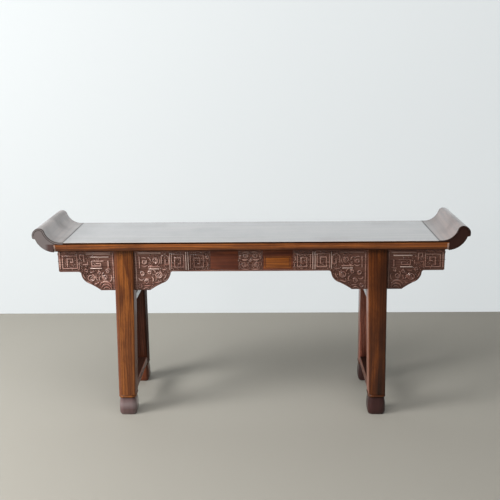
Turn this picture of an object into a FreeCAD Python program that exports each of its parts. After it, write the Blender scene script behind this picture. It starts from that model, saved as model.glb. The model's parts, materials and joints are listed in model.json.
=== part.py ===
"""Altar table with everted ends, carved aprons and four square legs on cushion feet.

Sizes are millimetres. X runs along the table, Y from front to back and Z upwards.
The origin lies on the floor under the middle of the table.
"""

import FreeCAD
import Part
import math
import os

# Table top
TOP_HEIGHT = 820.0
TOP_DEPTH = 420.0
SEAM_TO_SEAM = 1664.0
RAIL_HEIGHT = 44.0
RAIL_WIDTH = 95.0
RAIL_LAP = 44.0
PANEL_THICKNESS = 22.0
TONGUE_THICKNESS = 8.0
TONGUE_LENGTH = 10.0

# Moulding on the long edges of the top
EDGE_BAND = 7.0
QUIRK_WIDTH = 2.2
QUIRK_DEPTH = 2.0
OVOLO_BULGE = 4.0
OVOLO_RETREAT = 15.0

# Everted ends
SWEEP_START = 13.0
SWEEP_RADIUS = 70.0
SWEEP_TURN = 72.0
HEAD_INNER_RADIUS = 24.0
HEAD_OUTER_RADIUS = 34.0
HEAD_TUCK = 20.0
UNDER_START = 38.0
UNDER_RADIUS = 90.0
UNDER_TURN = 71.0
END_CHAMFER = 2.0
RAIL_TENON_LENGTH = 22.0
RAIL_TENON_WIDTH = 46.0
RAIL_TENON_THICKNESS = 13.0

# Battens under the panel
BATTEN_COUNT = 5
BATTEN_WIDTH = 46.0
BATTEN_FROM_SEAM = 152.0
BATTEN_TENON_LENGTH = 14.0
BATTEN_TENON_WIDTH = 30.0
BATTEN_TENON_THICKNESS = 9.0
DOVETAIL_DEPTH = 5.0
DOVETAIL_FLARE = 3.0

# Aprons and spandrels
APRON_THICKNESS = 22.0
APRON_SETBACK = 50.0
APRON_HEIGHT = 104.0
APRON_END_INSET = 5.0
APRON_CORNER = 7.0
MIDDLE_APRON_HALF = 288.0
SPANDREL_DROP = 88.0
SPANDREL_FLAT = 112.0
INNER_CURVE_RUN = 107.0
OUTER_CURVE_RUN = 100.0
APRON_TONGUE_HEIGHT = 9.0
END_APRON_TONGUE = 7.0

# Spandrel outline: distance along the curve's run and depth below the apron, as shares of run and drop
OGEE_MIDDLE_SHARES = (0.27, 0.79)
CUSP_SHARES = (0.52, 0.63)
LOBE_MIDDLE_SHARES = (0.75, 0.46)
LOBE_END_SHARES = (0.88, 0.11)
FILLET_MIDDLE_SHARES = (0.92, 0.03)

# Legs
LEG_FROM_SEAM = 218.0
LEG_TOP_WIDTH = 88.0
LEG_BOTTOM_WIDTH = 76.0
LEG_DEPTH = 80.0
LEG_TOP_SETBACK = 38.0
LEG_SPLAY = 60.0
LEG_CROWN = 1.5
LEG_CORNER = 6.0
LEG_TENON_HEIGHT = 18.0
LEG_TENON_WIDTH = 50.0
LEG_TENON_INSET = 4.0
FRONT_TENON_THICKNESS = 7.0
BACK_TENON_THICKNESS = 14.0

# Feet
BEAD_HEIGHT = 14.0
BEAD_PROUD = 2.6
BEAD_CORNER = 5.0
CUSHION_HEIGHT = 84.0
CUSHION_NECK = 1.0
CUSHION_BULGE = 2.5
CUSHION_CORNER = 9.0
CUSHION_BELLY_HEIGHT = 44.0
CUSHION_BASE_INSET = 2.0
CUSHION_LEVEL_SHARES = (0, 0.03, 0.08, 0.15, 0.24, 0.36, 0.52, 0.68, 0.82, 0.92, 1)
BEAD_LEVEL_SHARES = (0, 0.1, 0.25, 0.5, 0.75, 0.9, 1)
FOOT_TENON_LENGTH = 34.0
FOOT_TENON_SIDE = 32.0

# Side stretchers
UPPER_STRETCHER_TOP = 542.0
LOWER_STRETCHER_TOP = 132.0
STRETCHER_HEIGHT = 32.0
STRETCHER_THICKNESS = 44.0
STRETCHER_FROM_OUTER = 75.5
STRETCHER_ROUNDING = 5.0
STRETCHER_TENON_LENGTH = 26.0
STRETCHER_TENON_WIDTH = 14.0
STRETCHER_TENON_HEIGHT = 20.0

# Fits
JOINT_CLEARANCE = 0.3
CUT_OVERRUN = 2.0
POINT_MATCH = 0.0005

# Levels and planes worked out from the sizes above
HALF_DEPTH = TOP_DEPTH / 2
SEAM_X = SEAM_TO_SEAM / 2
RAIL_BOTTOM = TOP_HEIGHT - RAIL_HEIGHT
RAIL_END = SEAM_X + RAIL_LAP
BATTEN_SPAN = SEAM_TO_SEAM - 2 * BATTEN_FROM_SEAM
LEG_OUTER = SEAM_X - LEG_FROM_SEAM
APRON_END = RAIL_END - APRON_END_INSET
RAIL_INNER = HALF_DEPTH - RAIL_WIDTH
LAP_LEVEL = TOP_HEIGHT - EDGE_BAND
PANEL_BOTTOM = TOP_HEIGHT - PANEL_THICKNESS
TONGUE_MIDDLE = PANEL_BOTTOM + TONGUE_THICKNESS
APRON_FRONT = HALF_DEPTH - APRON_SETBACK
APRON_BACK = APRON_FRONT - APRON_THICKNESS
APRON_BOTTOM = RAIL_BOTTOM - APRON_HEIGHT
SPANDREL_BOTTOM = APRON_BOTTOM - SPANDREL_DROP
LEG_BASE = CUSHION_HEIGHT + BEAD_HEIGHT
LEG_RISE = RAIL_BOTTOM - LEG_BASE
LEG_CENTRE = LEG_OUTER - LEG_TOP_WIDTH / 2
STRETCHER_INNER = LEG_OUTER - STRETCHER_FROM_OUTER
LEG_TOP_FACE = HALF_DEPTH - LEG_TOP_SETBACK


def at(x, y, z):
    """A point in space."""
    return FreeCAD.Vector(x, y, z)


def block(x0, x1, y0, y1, z0, z1):
    """A rectangular block between opposite corners."""
    return Part.makeBox(x1 - x0, y1 - y0, z1 - z0, at(x0, y0, z0))


def line(start, end):
    """A straight edge."""
    return Part.LineSegment(start, end).toShape()


def arc(start, middle, end):
    """A round edge through three points."""
    return Part.Arc(start, middle, end).toShape()


def turn(centre, radius, start, end):
    """A round edge about a centre in the XZ plane, between two angles in degrees from +X."""
    def point(angle):
        across = radius * math.cos(math.radians(angle))
        up = radius * math.sin(math.radians(angle))
        return centre + at(across, 0, up)

    return arc(point(start), point((start + end) / 2), point(end))


def ends(edge):
    """The first and last point of an edge, in the direction it was drawn."""
    return edge.valueAt(edge.FirstParameter), edge.valueAt(edge.LastParameter)


def chain(edges):
    """Edges in drawing order, with straight runs added where one does not start at the last one's end."""
    joined = []
    for edge, following in zip(edges, edges[1:] + edges[:1]):
        joined.append(edge)
        leave = ends(edge)[1]
        arrive = ends(following)[0]
        if not leave.isEqual(arrive, POINT_MATCH):
            joined.append(line(leave, arrive))
    return joined


def polygon(points):
    """Straight edges through points, closed at the end."""
    return [line(a, b) for a, b in zip(points, points[1:] + points[:1])]


def prism(edges, travel):
    """A solid drawn by moving a closed outline."""
    return Part.Face(Part.Wire(edges)).extrude(travel)


def mirror_x(shape):
    """The shape's twin at the other end of the table."""
    return shape.mirror(at(0, 0, 0), at(1, 0, 0))


def mirror_y(shape):
    """The shape's twin on the other long side of the table."""
    return shape.mirror(at(0, 0, 0), at(0, 1, 0))


def leg_face(z):
    """How far the leg's outer long face lies from the table's middle plane at a height."""
    return LEG_TOP_FACE + LEG_SPLAY * (RAIL_BOTTOM - z) / LEG_RISE


def leg_inner(z):
    """X of the leg's inner side at a height."""
    width = LEG_TOP_WIDTH - (LEG_TOP_WIDTH - LEG_BOTTOM_WIDTH) * (RAIL_BOTTOM - z) / LEG_RISE
    return LEG_OUTER - width


def rail_profile(x):
    """The moulded section of the front rail at x: band, quirk and ovolo that retreats downwards."""
    front = -HALF_DEPTH
    band_foot = at(x, front, LAP_LEVEL)
    quirk_in = at(x, front + QUIRK_DEPTH, LAP_LEVEL)
    ovolo_top = at(x, front + QUIRK_DEPTH, LAP_LEVEL - QUIRK_WIDTH)
    ovolo_foot = at(x, front + OVOLO_RETREAT, RAIL_BOTTOM)
    chord_middle = (ovolo_top + ovolo_foot) * 0.5
    swell = at(x, chord_middle.y - OVOLO_BULGE, chord_middle.z)
    inner_foot = at(x, -RAIL_INNER, RAIL_BOTTOM)
    inner_head = at(x, -RAIL_INNER, TOP_HEIGHT)
    band_head = at(x, front, TOP_HEIGHT)
    return [
        line(band_head, band_foot),
        line(band_foot, quirk_in),
        line(quirk_in, ovolo_top),
        arc(ovolo_top, swell, ovolo_foot),
        line(ovolo_foot, inner_foot),
        line(inner_foot, inner_head),
        line(inner_head, band_head),
    ]


def rail_tenon(growth):
    """The tenon on the right end of the front rail, or its mortise with growth as clearance."""
    middle_y = -(HALF_DEPTH + RAIL_INNER) / 2
    middle_z = (RAIL_BOTTOM + LAP_LEVEL) / 2
    half_width = RAIL_TENON_WIDTH / 2 + growth
    half_thickness = RAIL_TENON_THICKNESS / 2 + growth
    return block(
        RAIL_END, RAIL_END + RAIL_TENON_LENGTH + growth,
        middle_y - half_width, middle_y + half_width,
        middle_z - half_thickness, middle_z + half_thickness,
    )


def batten_places():
    """X of each batten's middle."""
    pitch = BATTEN_SPAN / (BATTEN_COUNT - 1)
    return [pitch * index - BATTEN_SPAN / 2 for index in range(BATTEN_COUNT)]


def batten_tenon(x, growth):
    """The tenon at the front end of a batten, or its mortise with growth as clearance."""
    half_width = BATTEN_TENON_WIDTH / 2 + growth
    middle_z = (RAIL_BOTTOM + PANEL_BOTTOM) / 2
    half_thickness = BATTEN_TENON_THICKNESS / 2 + growth
    return block(
        x - half_width, x + half_width,
        -RAIL_INNER - BATTEN_TENON_LENGTH - growth, -RAIL_INNER,
        middle_z - half_thickness, middle_z + half_thickness,
    )


def dovetail(x, growth):
    """The key along a batten that slides into the panel, or its groove with growth as clearance."""
    foot = BATTEN_TENON_WIDTH / 2 - DOVETAIL_FLARE + growth
    head = BATTEN_TENON_WIDTH / 2 + growth
    crest = PANEL_BOTTOM + DOVETAIL_DEPTH + growth
    outline = polygon([
        at(x - foot, -RAIL_INNER, PANEL_BOTTOM),
        at(x + foot, -RAIL_INNER, PANEL_BOTTOM),
        at(x + head, -RAIL_INNER, crest),
        at(x - head, -RAIL_INNER, crest),
    ])
    return prism(outline, at(0, 2 * RAIL_INNER, 0))


def apron_tongue(x0, x1, growth):
    """The tongue on an apron's top edge, or its groove in the rail with growth as clearance."""
    middle = -(APRON_FRONT + APRON_BACK) / 2
    half = TONGUE_THICKNESS / 2 + growth
    return block(x0, x1, middle - half, middle + half, RAIL_BOTTOM, RAIL_BOTTOM + APRON_TONGUE_HEIGHT + growth)


def leg_tenons(growth):
    """The two tenons on top of the front right leg, one per cheek, or their mortises."""
    half = LEG_TENON_WIDTH / 2 + growth
    x0 = LEG_CENTRE - half
    x1 = LEG_CENTRE + half
    top = RAIL_BOTTOM + LEG_TENON_HEIGHT + growth
    front = -LEG_TOP_FACE + LEG_TENON_INSET
    back = -APRON_BACK + LEG_TENON_INSET
    first = block(x0, x1, front - growth, front + FRONT_TENON_THICKNESS + growth, RAIL_BOTTOM, top)
    second = block(x0, x1, back - growth, back + BACK_TENON_THICKNESS + growth, RAIL_BOTTOM, top)
    return first.fuse(second)


def front_rail():
    """The long moulded frame member with its lapped ends, grooves and mortises."""
    body = prism(rail_profile(-RAIL_END), at(2 * RAIL_END, 0, 0))
    lap = block(
        SEAM_X, RAIL_END + CUT_OVERRUN,
        -HALF_DEPTH - CUT_OVERRUN, -RAIL_INNER + CUT_OVERRUN,
        LAP_LEVEL, TOP_HEIGHT + CUT_OVERRUN,
    )
    panel_groove = block(
        -SEAM_X, SEAM_X,
        -RAIL_INNER - TONGUE_LENGTH - JOINT_CLEARANCE, -RAIL_INNER,
        TONGUE_MIDDLE - TONGUE_THICKNESS / 2 - JOINT_CLEARANCE,
        TONGUE_MIDDLE + TONGUE_THICKNESS / 2 + JOINT_CLEARANCE,
    )
    apron_groove = apron_tongue(-APRON_END, APRON_END, JOINT_CLEARANCE)
    mortises = leg_tenons(JOINT_CLEARANCE)
    cuts = [lap, mirror_x(lap), panel_groove, apron_groove, mortises, mirror_x(mortises)]
    cuts += [batten_tenon(x, JOINT_CLEARANCE) for x in batten_places()]
    tenon = rail_tenon(0)
    return body.cut(cuts).fuse([tenon, mirror_x(tenon)]).removeSplitter()


def top_panel():
    """The broad top board with tongues on all four edges and grooves for the battens."""
    board = block(-SEAM_X, SEAM_X, -RAIL_INNER, RAIL_INNER, PANEL_BOTTOM, TOP_HEIGHT)
    tongue = block(
        -SEAM_X - TONGUE_LENGTH, SEAM_X + TONGUE_LENGTH,
        -RAIL_INNER, RAIL_INNER,
        TONGUE_MIDDLE - TONGUE_THICKNESS / 2, TONGUE_MIDDLE + TONGUE_THICKNESS / 2,
    )
    side_tongue = block(
        -SEAM_X, SEAM_X,
        -RAIL_INNER - TONGUE_LENGTH, RAIL_INNER + TONGUE_LENGTH,
        TONGUE_MIDDLE - TONGUE_THICKNESS / 2, TONGUE_MIDDLE + TONGUE_THICKNESS / 2,
    )
    grooves = [dovetail(x, JOINT_CLEARANCE) for x in batten_places()]
    return board.fuse([tongue, side_tongue]).cut(grooves).removeSplitter()


def batten(x):
    """A cross batten under the panel, keyed into it and tenoned into both rails."""
    body = block(
        x - BATTEN_WIDTH / 2, x + BATTEN_WIDTH / 2,
        -RAIL_INNER, RAIL_INNER, RAIL_BOTTOM, PANEL_BOTTOM,
    )
    tenon = batten_tenon(x, 0)
    return body.fuse([dovetail(x, 0), tenon, mirror_y(tenon)]).removeSplitter()


def everted_centres(y):
    """Centres of the right end's sweep and of its head's inner and outer arcs, in the plane y."""
    sweep_centre = at(SEAM_X + SWEEP_START, y, TOP_HEIGHT + SWEEP_RADIUS)
    reach = SWEEP_RADIUS + HEAD_INNER_RADIUS
    tilt = math.radians(SWEEP_TURN)
    inner_centre = sweep_centre + at(reach * math.sin(tilt), 0, -reach * math.cos(tilt))
    outer_centre = inner_centre + at(0, 0, HEAD_INNER_RADIUS - HEAD_OUTER_RADIUS)
    return sweep_centre, inner_centre, outer_centre


def everted_profile(y):
    """The outline of the right everted end in the plane y: sweep, rolled head, hook and underside."""
    sweep_centre, inner_centre, outer_centre = everted_centres(y)
    under_centre = at(SEAM_X + UNDER_START, y, RAIL_BOTTOM + UNDER_RADIUS)
    return chain([
        line(at(SEAM_X, y, TOP_HEIGHT), at(SEAM_X, y, RAIL_BOTTOM)),
        turn(under_centre, UNDER_RADIUS, -90, UNDER_TURN - 90),
        turn(outer_centre, HEAD_OUTER_RADIUS, -HEAD_TUCK, 90),
        turn(inner_centre, HEAD_INNER_RADIUS, 90, 90 + SWEEP_TURN),
        turn(sweep_centre, SWEEP_RADIUS, SWEEP_TURN - 90, -90),
    ])


def quirk_band():
    """The thin line cut into an end face of the everted end, one band below its upper edge."""
    y = -HALF_DEPTH
    sweep_centre, inner_centre, outer_centre = everted_centres(y)
    near = EDGE_BAND
    far = EDGE_BAND + QUIRK_WIDTH
    start = at(SEAM_X - CUT_OVERRUN, y, TOP_HEIGHT - near)
    outline = chain([
        turn(sweep_centre, SWEEP_RADIUS + near, -90, SWEEP_TURN - 90),
        turn(inner_centre, HEAD_INNER_RADIUS - near, 90 + SWEEP_TURN, 90),
        turn(outer_centre, HEAD_OUTER_RADIUS - near, 90, 0),
        turn(outer_centre, HEAD_OUTER_RADIUS - far, 0, 90),
        turn(inner_centre, HEAD_INNER_RADIUS - far, 90, 90 + SWEEP_TURN),
        turn(sweep_centre, SWEEP_RADIUS + far, SWEEP_TURN - 90, -90),
        line(at(start.x, y, TOP_HEIGHT - far), start),
    ])
    return prism(outline, at(0, QUIRK_DEPTH, 0))


def everted_end():
    """The right end board: it laps over the rails and turns up into a rolled head."""
    body = prism(everted_profile(-HALF_DEPTH), at(0, TOP_DEPTH, 0))
    eased = [
        edge for edge in body.Edges
        if edge.BoundBox.YLength < JOINT_CLEARANCE and isinstance(edge.Curve, Part.Circle)
    ]
    body = body.makeChamfer(END_CHAMFER, eased)
    notch = block(
        SEAM_X - CUT_OVERRUN, RAIL_END, -HALF_DEPTH - CUT_OVERRUN, -RAIL_INNER,
        RAIL_BOTTOM - CUT_OVERRUN, LAP_LEVEL,
    )
    panel_groove = block(
        SEAM_X, SEAM_X + TONGUE_LENGTH + JOINT_CLEARANCE, -RAIL_INNER, RAIL_INNER,
        TONGUE_MIDDLE - TONGUE_THICKNESS / 2 - JOINT_CLEARANCE,
        TONGUE_MIDDLE + TONGUE_THICKNESS / 2 + JOINT_CLEARANCE,
    )
    mortise = rail_tenon(JOINT_CLEARANCE)
    quirk = quirk_band()
    cuts = [notch, mirror_y(notch), panel_groove, mortise, mirror_y(mortise), quirk, mirror_y(quirk)]
    return body.cut(cuts).removeSplitter()


def on_curve(start, run, shares, y):
    """A point of the spandrel outline, from its shares of the run and of the drop."""
    return at(start + run * shares[0], y, APRON_BOTTOM - SPANDREL_DROP * shares[1])


def spandrel_curve(flat_end, run):
    """The curved underside from the end of the flat to the apron's bottom line; run may be negative."""
    y = -APRON_FRONT
    foot = at(flat_end, y, SPANDREL_BOTTOM)
    cusp = on_curve(flat_end, run, CUSP_SHARES, y)
    lobe_end = on_curve(flat_end, run, LOBE_END_SHARES, y)
    finish = at(flat_end + run, y, APRON_BOTTOM)
    return [
        arc(foot, on_curve(flat_end, run, OGEE_MIDDLE_SHARES, y), cusp),
        arc(cusp, on_curve(flat_end, run, LOBE_MIDDLE_SHARES, y), lobe_end),
        arc(lobe_end, on_curve(flat_end, run, FILLET_MIDDLE_SHARES, y), finish),
    ]


def edge_tongue(x, direction, growth):
    """The tongue that joins two apron boards end to end, or its groove with growth as clearance."""
    middle = -(APRON_FRONT + APRON_BACK) / 2
    half = TONGUE_THICKNESS / 2 + growth
    reach = x + direction * (TONGUE_LENGTH + growth)
    return block(min(x, reach), max(x, reach), middle - half, middle + half, APRON_BOTTOM, RAIL_BOTTOM)


def apron_middle():
    """The plain apron board between the two inner spandrels, tongued at its ends."""
    half = MIDDLE_APRON_HALF
    board = block(-half, half, -APRON_FRONT, -APRON_BACK, APRON_BOTTOM, RAIL_BOTTOM)
    tongues = [edge_tongue(half, 1, 0), edge_tongue(-half, -1, 0), apron_tongue(-half, half, 0)]
    return board.fuse(tongues).removeSplitter()


def inner_spandrel():
    """The right spandrel towards the middle: it runs from the middle apron into the leg's slot."""
    y = -APRON_FRONT
    outline = chain([
        line(at(MIDDLE_APRON_HALF, y, APRON_BOTTOM), at(MIDDLE_APRON_HALF, y, RAIL_BOTTOM)),
        line(at(LEG_CENTRE, y, RAIL_BOTTOM), at(LEG_CENTRE, y, SPANDREL_BOTTOM)),
    ] + spandrel_curve(LEG_CENTRE - SPANDREL_FLAT, -INNER_CURVE_RUN))
    board = prism(outline, at(0, APRON_THICKNESS, 0))
    groove = edge_tongue(MIDDLE_APRON_HALF, 1, JOINT_CLEARANCE)
    tongue = apron_tongue(MIDDLE_APRON_HALF, LEG_CENTRE, 0)
    return board.cut(groove).fuse(tongue).removeSplitter()


def outer_spandrel():
    """The right spandrel towards the table's end: it runs from the leg's slot to the end apron."""
    y = -APRON_FRONT
    corner_centre = at(APRON_END - APRON_CORNER, y, APRON_BOTTOM + APRON_CORNER)
    outline = chain([
        line(at(LEG_CENTRE, y, SPANDREL_BOTTOM), at(LEG_CENTRE, y, RAIL_BOTTOM)),
        line(at(APRON_END, y, RAIL_BOTTOM), at(APRON_END, y, APRON_BOTTOM + APRON_CORNER)),
        turn(corner_centre, APRON_CORNER, 0, -90),
    ] + [reverse(edge) for edge in reversed(spandrel_curve(LEG_CENTRE + SPANDREL_FLAT, OUTER_CURVE_RUN))])
    board = prism(outline, at(0, APRON_THICKNESS, 0))
    tongue = apron_tongue(LEG_CENTRE, APRON_END - APRON_THICKNESS, 0)
    return board.cut(end_apron_tongue(JOINT_CLEARANCE)).fuse(tongue).removeSplitter()


def reverse(edge):
    """The same round edge drawn from its other end."""
    first, last = ends(edge)
    middle = edge.valueAt((edge.FirstParameter + edge.LastParameter) / 2)
    return arc(last, middle, first)


def end_apron_tongue(growth):
    """The tongue at the front of the right end apron, or its groove with growth as clearance."""
    middle = APRON_END - APRON_THICKNESS / 2
    half = TONGUE_THICKNESS / 2 + growth
    return block(
        middle - half, middle + half,
        -APRON_BACK - END_APRON_TONGUE - growth, -APRON_BACK,
        APRON_BOTTOM + APRON_CORNER - growth, RAIL_BOTTOM,
    )


def end_apron():
    """The short apron across the right end, between the front and back aprons."""
    board = block(
        APRON_END - APRON_THICKNESS, APRON_END, -APRON_BACK, APRON_BACK, APRON_BOTTOM, RAIL_BOTTOM,
    )
    tongue = end_apron_tongue(0)
    return board.fuse([tongue, mirror_y(tongue)]).removeSplitter()


def leg_section(z):
    """The outline of the front right leg at a height: crowned front, eased corners."""
    front = -leg_face(z)
    back = front + LEG_DEPTH
    inner = leg_inner(z)
    ease = LEG_CORNER
    nick = ease * (1 - math.sqrt(0.5))
    return [
        arc(at(inner, front + ease, z), at(inner + nick, front + nick, z), at(inner + ease, front, z)),
        arc(
            at(inner + ease, front, z),
            at((inner + LEG_OUTER) / 2, front - LEG_CROWN, z),
            at(LEG_OUTER - ease, front, z),
        ),
        arc(
            at(LEG_OUTER - ease, front, z),
            at(LEG_OUTER - nick, front + nick, z),
            at(LEG_OUTER, front + ease, z),
        ),
        line(at(LEG_OUTER, front + ease, z), at(LEG_OUTER, back - ease, z)),
        arc(
            at(LEG_OUTER, back - ease, z),
            at(LEG_OUTER - nick, back - nick, z),
            at(LEG_OUTER - ease, back, z),
        ),
        line(at(LEG_OUTER - ease, back, z), at(inner + ease, back, z)),
        arc(at(inner + ease, back, z), at(inner + nick, back - nick, z), at(inner, back - ease, z)),
        line(at(inner, back - ease, z), at(inner, front + ease, z)),
    ]


def foot_middle():
    """X and Y of the middle of the front right foot, straight under the leg's lower end."""
    x = (leg_inner(LEG_BASE) + LEG_OUTER) / 2
    y = LEG_DEPTH / 2 - leg_face(LEG_BASE)
    return x, y


def foot_tenon(growth):
    """The stub tenon under the leg, or its mortise in the foot with growth as clearance."""
    x, y = foot_middle()
    half = FOOT_TENON_SIDE / 2 + growth
    return block(x - half, x + half, y - half, y + half, LEG_BASE - FOOT_TENON_LENGTH - growth, LEG_BASE)


def stretcher_tenon(top, growth):
    """The tenon at the stretcher's front end, or its mortise in the leg with growth as clearance."""
    x = STRETCHER_INNER + STRETCHER_THICKNESS / 2
    z = top - STRETCHER_HEIGHT / 2
    half_width = STRETCHER_TENON_WIDTH / 2 + growth
    half_height = STRETCHER_TENON_HEIGHT / 2 + growth
    shoulder = LEG_DEPTH - leg_face(z)
    return block(
        x - half_width, x + half_width,
        shoulder - STRETCHER_TENON_LENGTH - growth, shoulder + CUT_OVERRUN,
        z - half_height, z + half_height,
    )


def leg():
    """The front right leg: tapered, splayed, slotted for the apron and mortised for the stretchers."""
    top = Part.Wire(leg_section(RAIL_BOTTOM))
    base = Part.Wire(leg_section(LEG_BASE))
    body = Part.makeLoft([base, top], True, True)
    slot = block(
        leg_inner(RAIL_BOTTOM) - CUT_OVERRUN, LEG_OUTER + CUT_OVERRUN,
        -APRON_FRONT - JOINT_CLEARANCE, -APRON_BACK + JOINT_CLEARANCE,
        SPANDREL_BOTTOM - JOINT_CLEARANCE, RAIL_BOTTOM + CUT_OVERRUN,
    )
    mortises = [stretcher_tenon(level, JOINT_CLEARANCE) for level in (UPPER_STRETCHER_TOP, LOWER_STRETCHER_TOP)]
    return body.cut([slot] + mortises).fuse([leg_tenons(0), foot_tenon(0)]).removeSplitter()


def eased_section(x, y, growth, corner, z):
    """A level outline with eased corners, larger than the leg's lower end by growth all round."""
    half_width = LEG_BOTTOM_WIDTH / 2 + growth
    half_depth = LEG_DEPTH / 2 + growth
    nick = corner * (1 - math.sqrt(0.5))
    points = []
    for side, front in ((1, -1), (1, 1), (-1, 1), (-1, -1)):
        corner_x = x + side * half_width
        corner_y = y + front * half_depth
        along = at(corner_x - side * corner, corner_y, z)
        middle = at(corner_x - side * nick, corner_y - front * nick, z)
        across = at(corner_x, corner_y - front * corner, z)
        points += [along, middle, across] if side * front < 0 else [across, middle, along]
    return Part.Wire(polygon(points))


def cushion_growth(z):
    """How far the cushion stands out from the leg's lower end at a height: it swells, then tucks in."""
    if z < CUSHION_BELLY_HEIGHT:
        fall = (CUSHION_BELLY_HEIGHT - z) / CUSHION_BELLY_HEIGHT
        return CUSHION_BULGE - (CUSHION_BULGE + CUSHION_BASE_INSET) * fall ** 3
    rise = (z - CUSHION_BELLY_HEIGHT) / (CUSHION_HEIGHT - CUSHION_BELLY_HEIGHT)
    return CUSHION_BULGE - (CUSHION_BULGE + CUSHION_NECK) * rise ** 2


def bead_growth(z):
    """How far the bead stands out from the leg's lower end at a height."""
    rise = (z - CUSHION_HEIGHT) / BEAD_HEIGHT
    return BEAD_PROUD * math.sin(math.pi * rise)


def swelling(x, y, levels, growth, corner):
    """A solid drawn through level outlines, strip by strip; growth gives each outline's size."""
    outlines = [eased_section(x, y, growth(z), corner, z) for z in levels]
    return Part.makeLoft(outlines, True, True)


def foot():
    """The front right foot: a bead over a cushion that swells on all four sides."""
    x, y = foot_middle()
    cushion_levels = [CUSHION_HEIGHT * share for share in CUSHION_LEVEL_SHARES]
    bead_levels = [CUSHION_HEIGHT + BEAD_HEIGHT * share for share in BEAD_LEVEL_SHARES]
    cushion = swelling(x, y, cushion_levels, cushion_growth, CUSHION_CORNER)
    bead = swelling(x, y, bead_levels, bead_growth, BEAD_CORNER)
    return cushion.fuse(bead).cut(foot_tenon(JOINT_CLEARANCE)).removeSplitter()


def stretcher(top):
    """A side stretcher between the right legs, with shoulders that follow their lean."""
    x0 = STRETCHER_INNER
    x1 = x0 + STRETCHER_THICKNESS
    z0 = top - STRETCHER_HEIGHT
    reach = leg_face(z0)
    round_ = STRETCHER_ROUNDING
    section = chain([
        turn(at(x0 + round_, -reach, top - round_), round_, 180, 90),
        turn(at(x1 - round_, -reach, top - round_), round_, 90, 0),
        turn(at(x1 - round_, -reach, z0 + round_), round_, 0, -90),
        turn(at(x0 + round_, -reach, z0 + round_), round_, -90, -180),
    ])
    upper = LEG_DEPTH - leg_face(top)
    lower = LEG_DEPTH - leg_face(z0)
    window = polygon([at(x0, lower, z0), at(x0, -lower, z0), at(x0, -upper, top), at(x0, upper, top)])
    body = prism(section, at(0, 2 * reach, 0)).common(prism(window, at(STRETCHER_THICKNESS, 0, 0)))
    tenon = stretcher_tenon(top, 0)
    tenons = tenon.fuse(mirror_y(tenon))
    return body.fuse(tenons).removeSplitter()


def side_pieces():
    """Pieces of the front side, right-hand where they come in pairs; the back side mirrors them."""
    single = {"top_rail": front_rail(), "apron_middle": apron_middle()}
    paired = {
        "inner_spandrel": inner_spandrel(),
        "outer_spandrel": outer_spandrel(),
        "leg": leg(),
        "foot": foot(),
    }
    named = {}
    for name, shape in single.items():
        named["front_" + name] = shape
        named["back_" + name] = mirror_y(shape)
    for name, shape in paired.items():
        named["front_right_" + name] = shape
        named["front_left_" + name] = mirror_x(shape)
        named["back_right_" + name] = mirror_y(shape)
        named["back_left_" + name] = mirror_x(mirror_y(shape))
    return named


def end_pieces():
    """Pieces of the right end; the left end mirrors them."""
    shapes = {
        "everted_end": everted_end(),
        "end_apron": end_apron(),
        "upper_stretcher": stretcher(UPPER_STRETCHER_TOP),
        "lower_stretcher": stretcher(LOWER_STRETCHER_TOP),
    }
    named = {}
    for name, shape in shapes.items():
        named["right_" + name] = shape
        named["left_" + name] = mirror_x(shape)
    return named


def middle_pieces():
    """The panel and its battens, counted from the left."""
    named = {"top_panel": top_panel()}
    for number, x in enumerate(batten_places(), start=1):
        named["batten_" + str(number)] = batten(x)
    return named


def main():
    """Build every piece and write one file for each."""
    os.makedirs("parts", exist_ok=True)
    pieces = {**middle_pieces(), **side_pieces(), **end_pieces()}
    for name, shape in pieces.items():
        shape.Solids[0].exportStep(os.path.join("parts", name + ".step"))
        print(name, len(shape.Solids), shape.isValid(), round(shape.Volume))


main()
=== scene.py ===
"""Looks of the altar table: carved aprons, rolled ends, polished wood, and a plain studio.

Sizes are metres. X runs along the table, Y from front to back and Z upwards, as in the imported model.
The carving is drawn once for the right half of the front and mirrored to the other quarters.
"""

import json
import logging
import math
import random
from collections.abc import Callable, Sequence
from dataclasses import dataclass, field
from enum import Enum

import bmesh
import bpy
from bmesh.types import BMEdge, BMesh, BMFace, BMVert
from bpy.types import Material, Mesh, Node, NodeSocket, NodeTree, Object
from mathutils import Matrix, Vector


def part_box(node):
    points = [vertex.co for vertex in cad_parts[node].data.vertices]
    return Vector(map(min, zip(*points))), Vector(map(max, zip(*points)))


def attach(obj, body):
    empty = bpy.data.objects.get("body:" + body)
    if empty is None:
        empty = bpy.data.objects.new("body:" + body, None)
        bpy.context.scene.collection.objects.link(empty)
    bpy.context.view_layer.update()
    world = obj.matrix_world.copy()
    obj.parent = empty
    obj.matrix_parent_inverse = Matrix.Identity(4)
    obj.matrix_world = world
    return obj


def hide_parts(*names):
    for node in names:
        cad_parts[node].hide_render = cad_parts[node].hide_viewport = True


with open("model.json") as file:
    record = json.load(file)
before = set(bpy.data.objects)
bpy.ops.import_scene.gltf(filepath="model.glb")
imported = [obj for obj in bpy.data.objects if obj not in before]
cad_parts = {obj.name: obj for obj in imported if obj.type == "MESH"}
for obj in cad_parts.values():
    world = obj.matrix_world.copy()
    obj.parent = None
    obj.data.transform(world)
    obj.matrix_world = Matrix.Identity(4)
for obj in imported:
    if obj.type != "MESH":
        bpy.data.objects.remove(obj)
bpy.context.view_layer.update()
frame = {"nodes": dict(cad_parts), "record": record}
log = logging.getLogger("altar_table")

Point = tuple[float, float]
Colour = tuple[float, float, float]

MM = 0.001
PLACES = 5
NEAR = 10.0 ** -PLACES


class Named(Enum):
    """An option whose name is part of the names of pieces."""

    @property
    def word(self) -> str:
        """The option's name in piece names."""
        return self.name.lower()


class Side(Named):
    """The long sides of the table, with the sign of Y on each."""

    FRONT = -1
    BACK = 1


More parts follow.
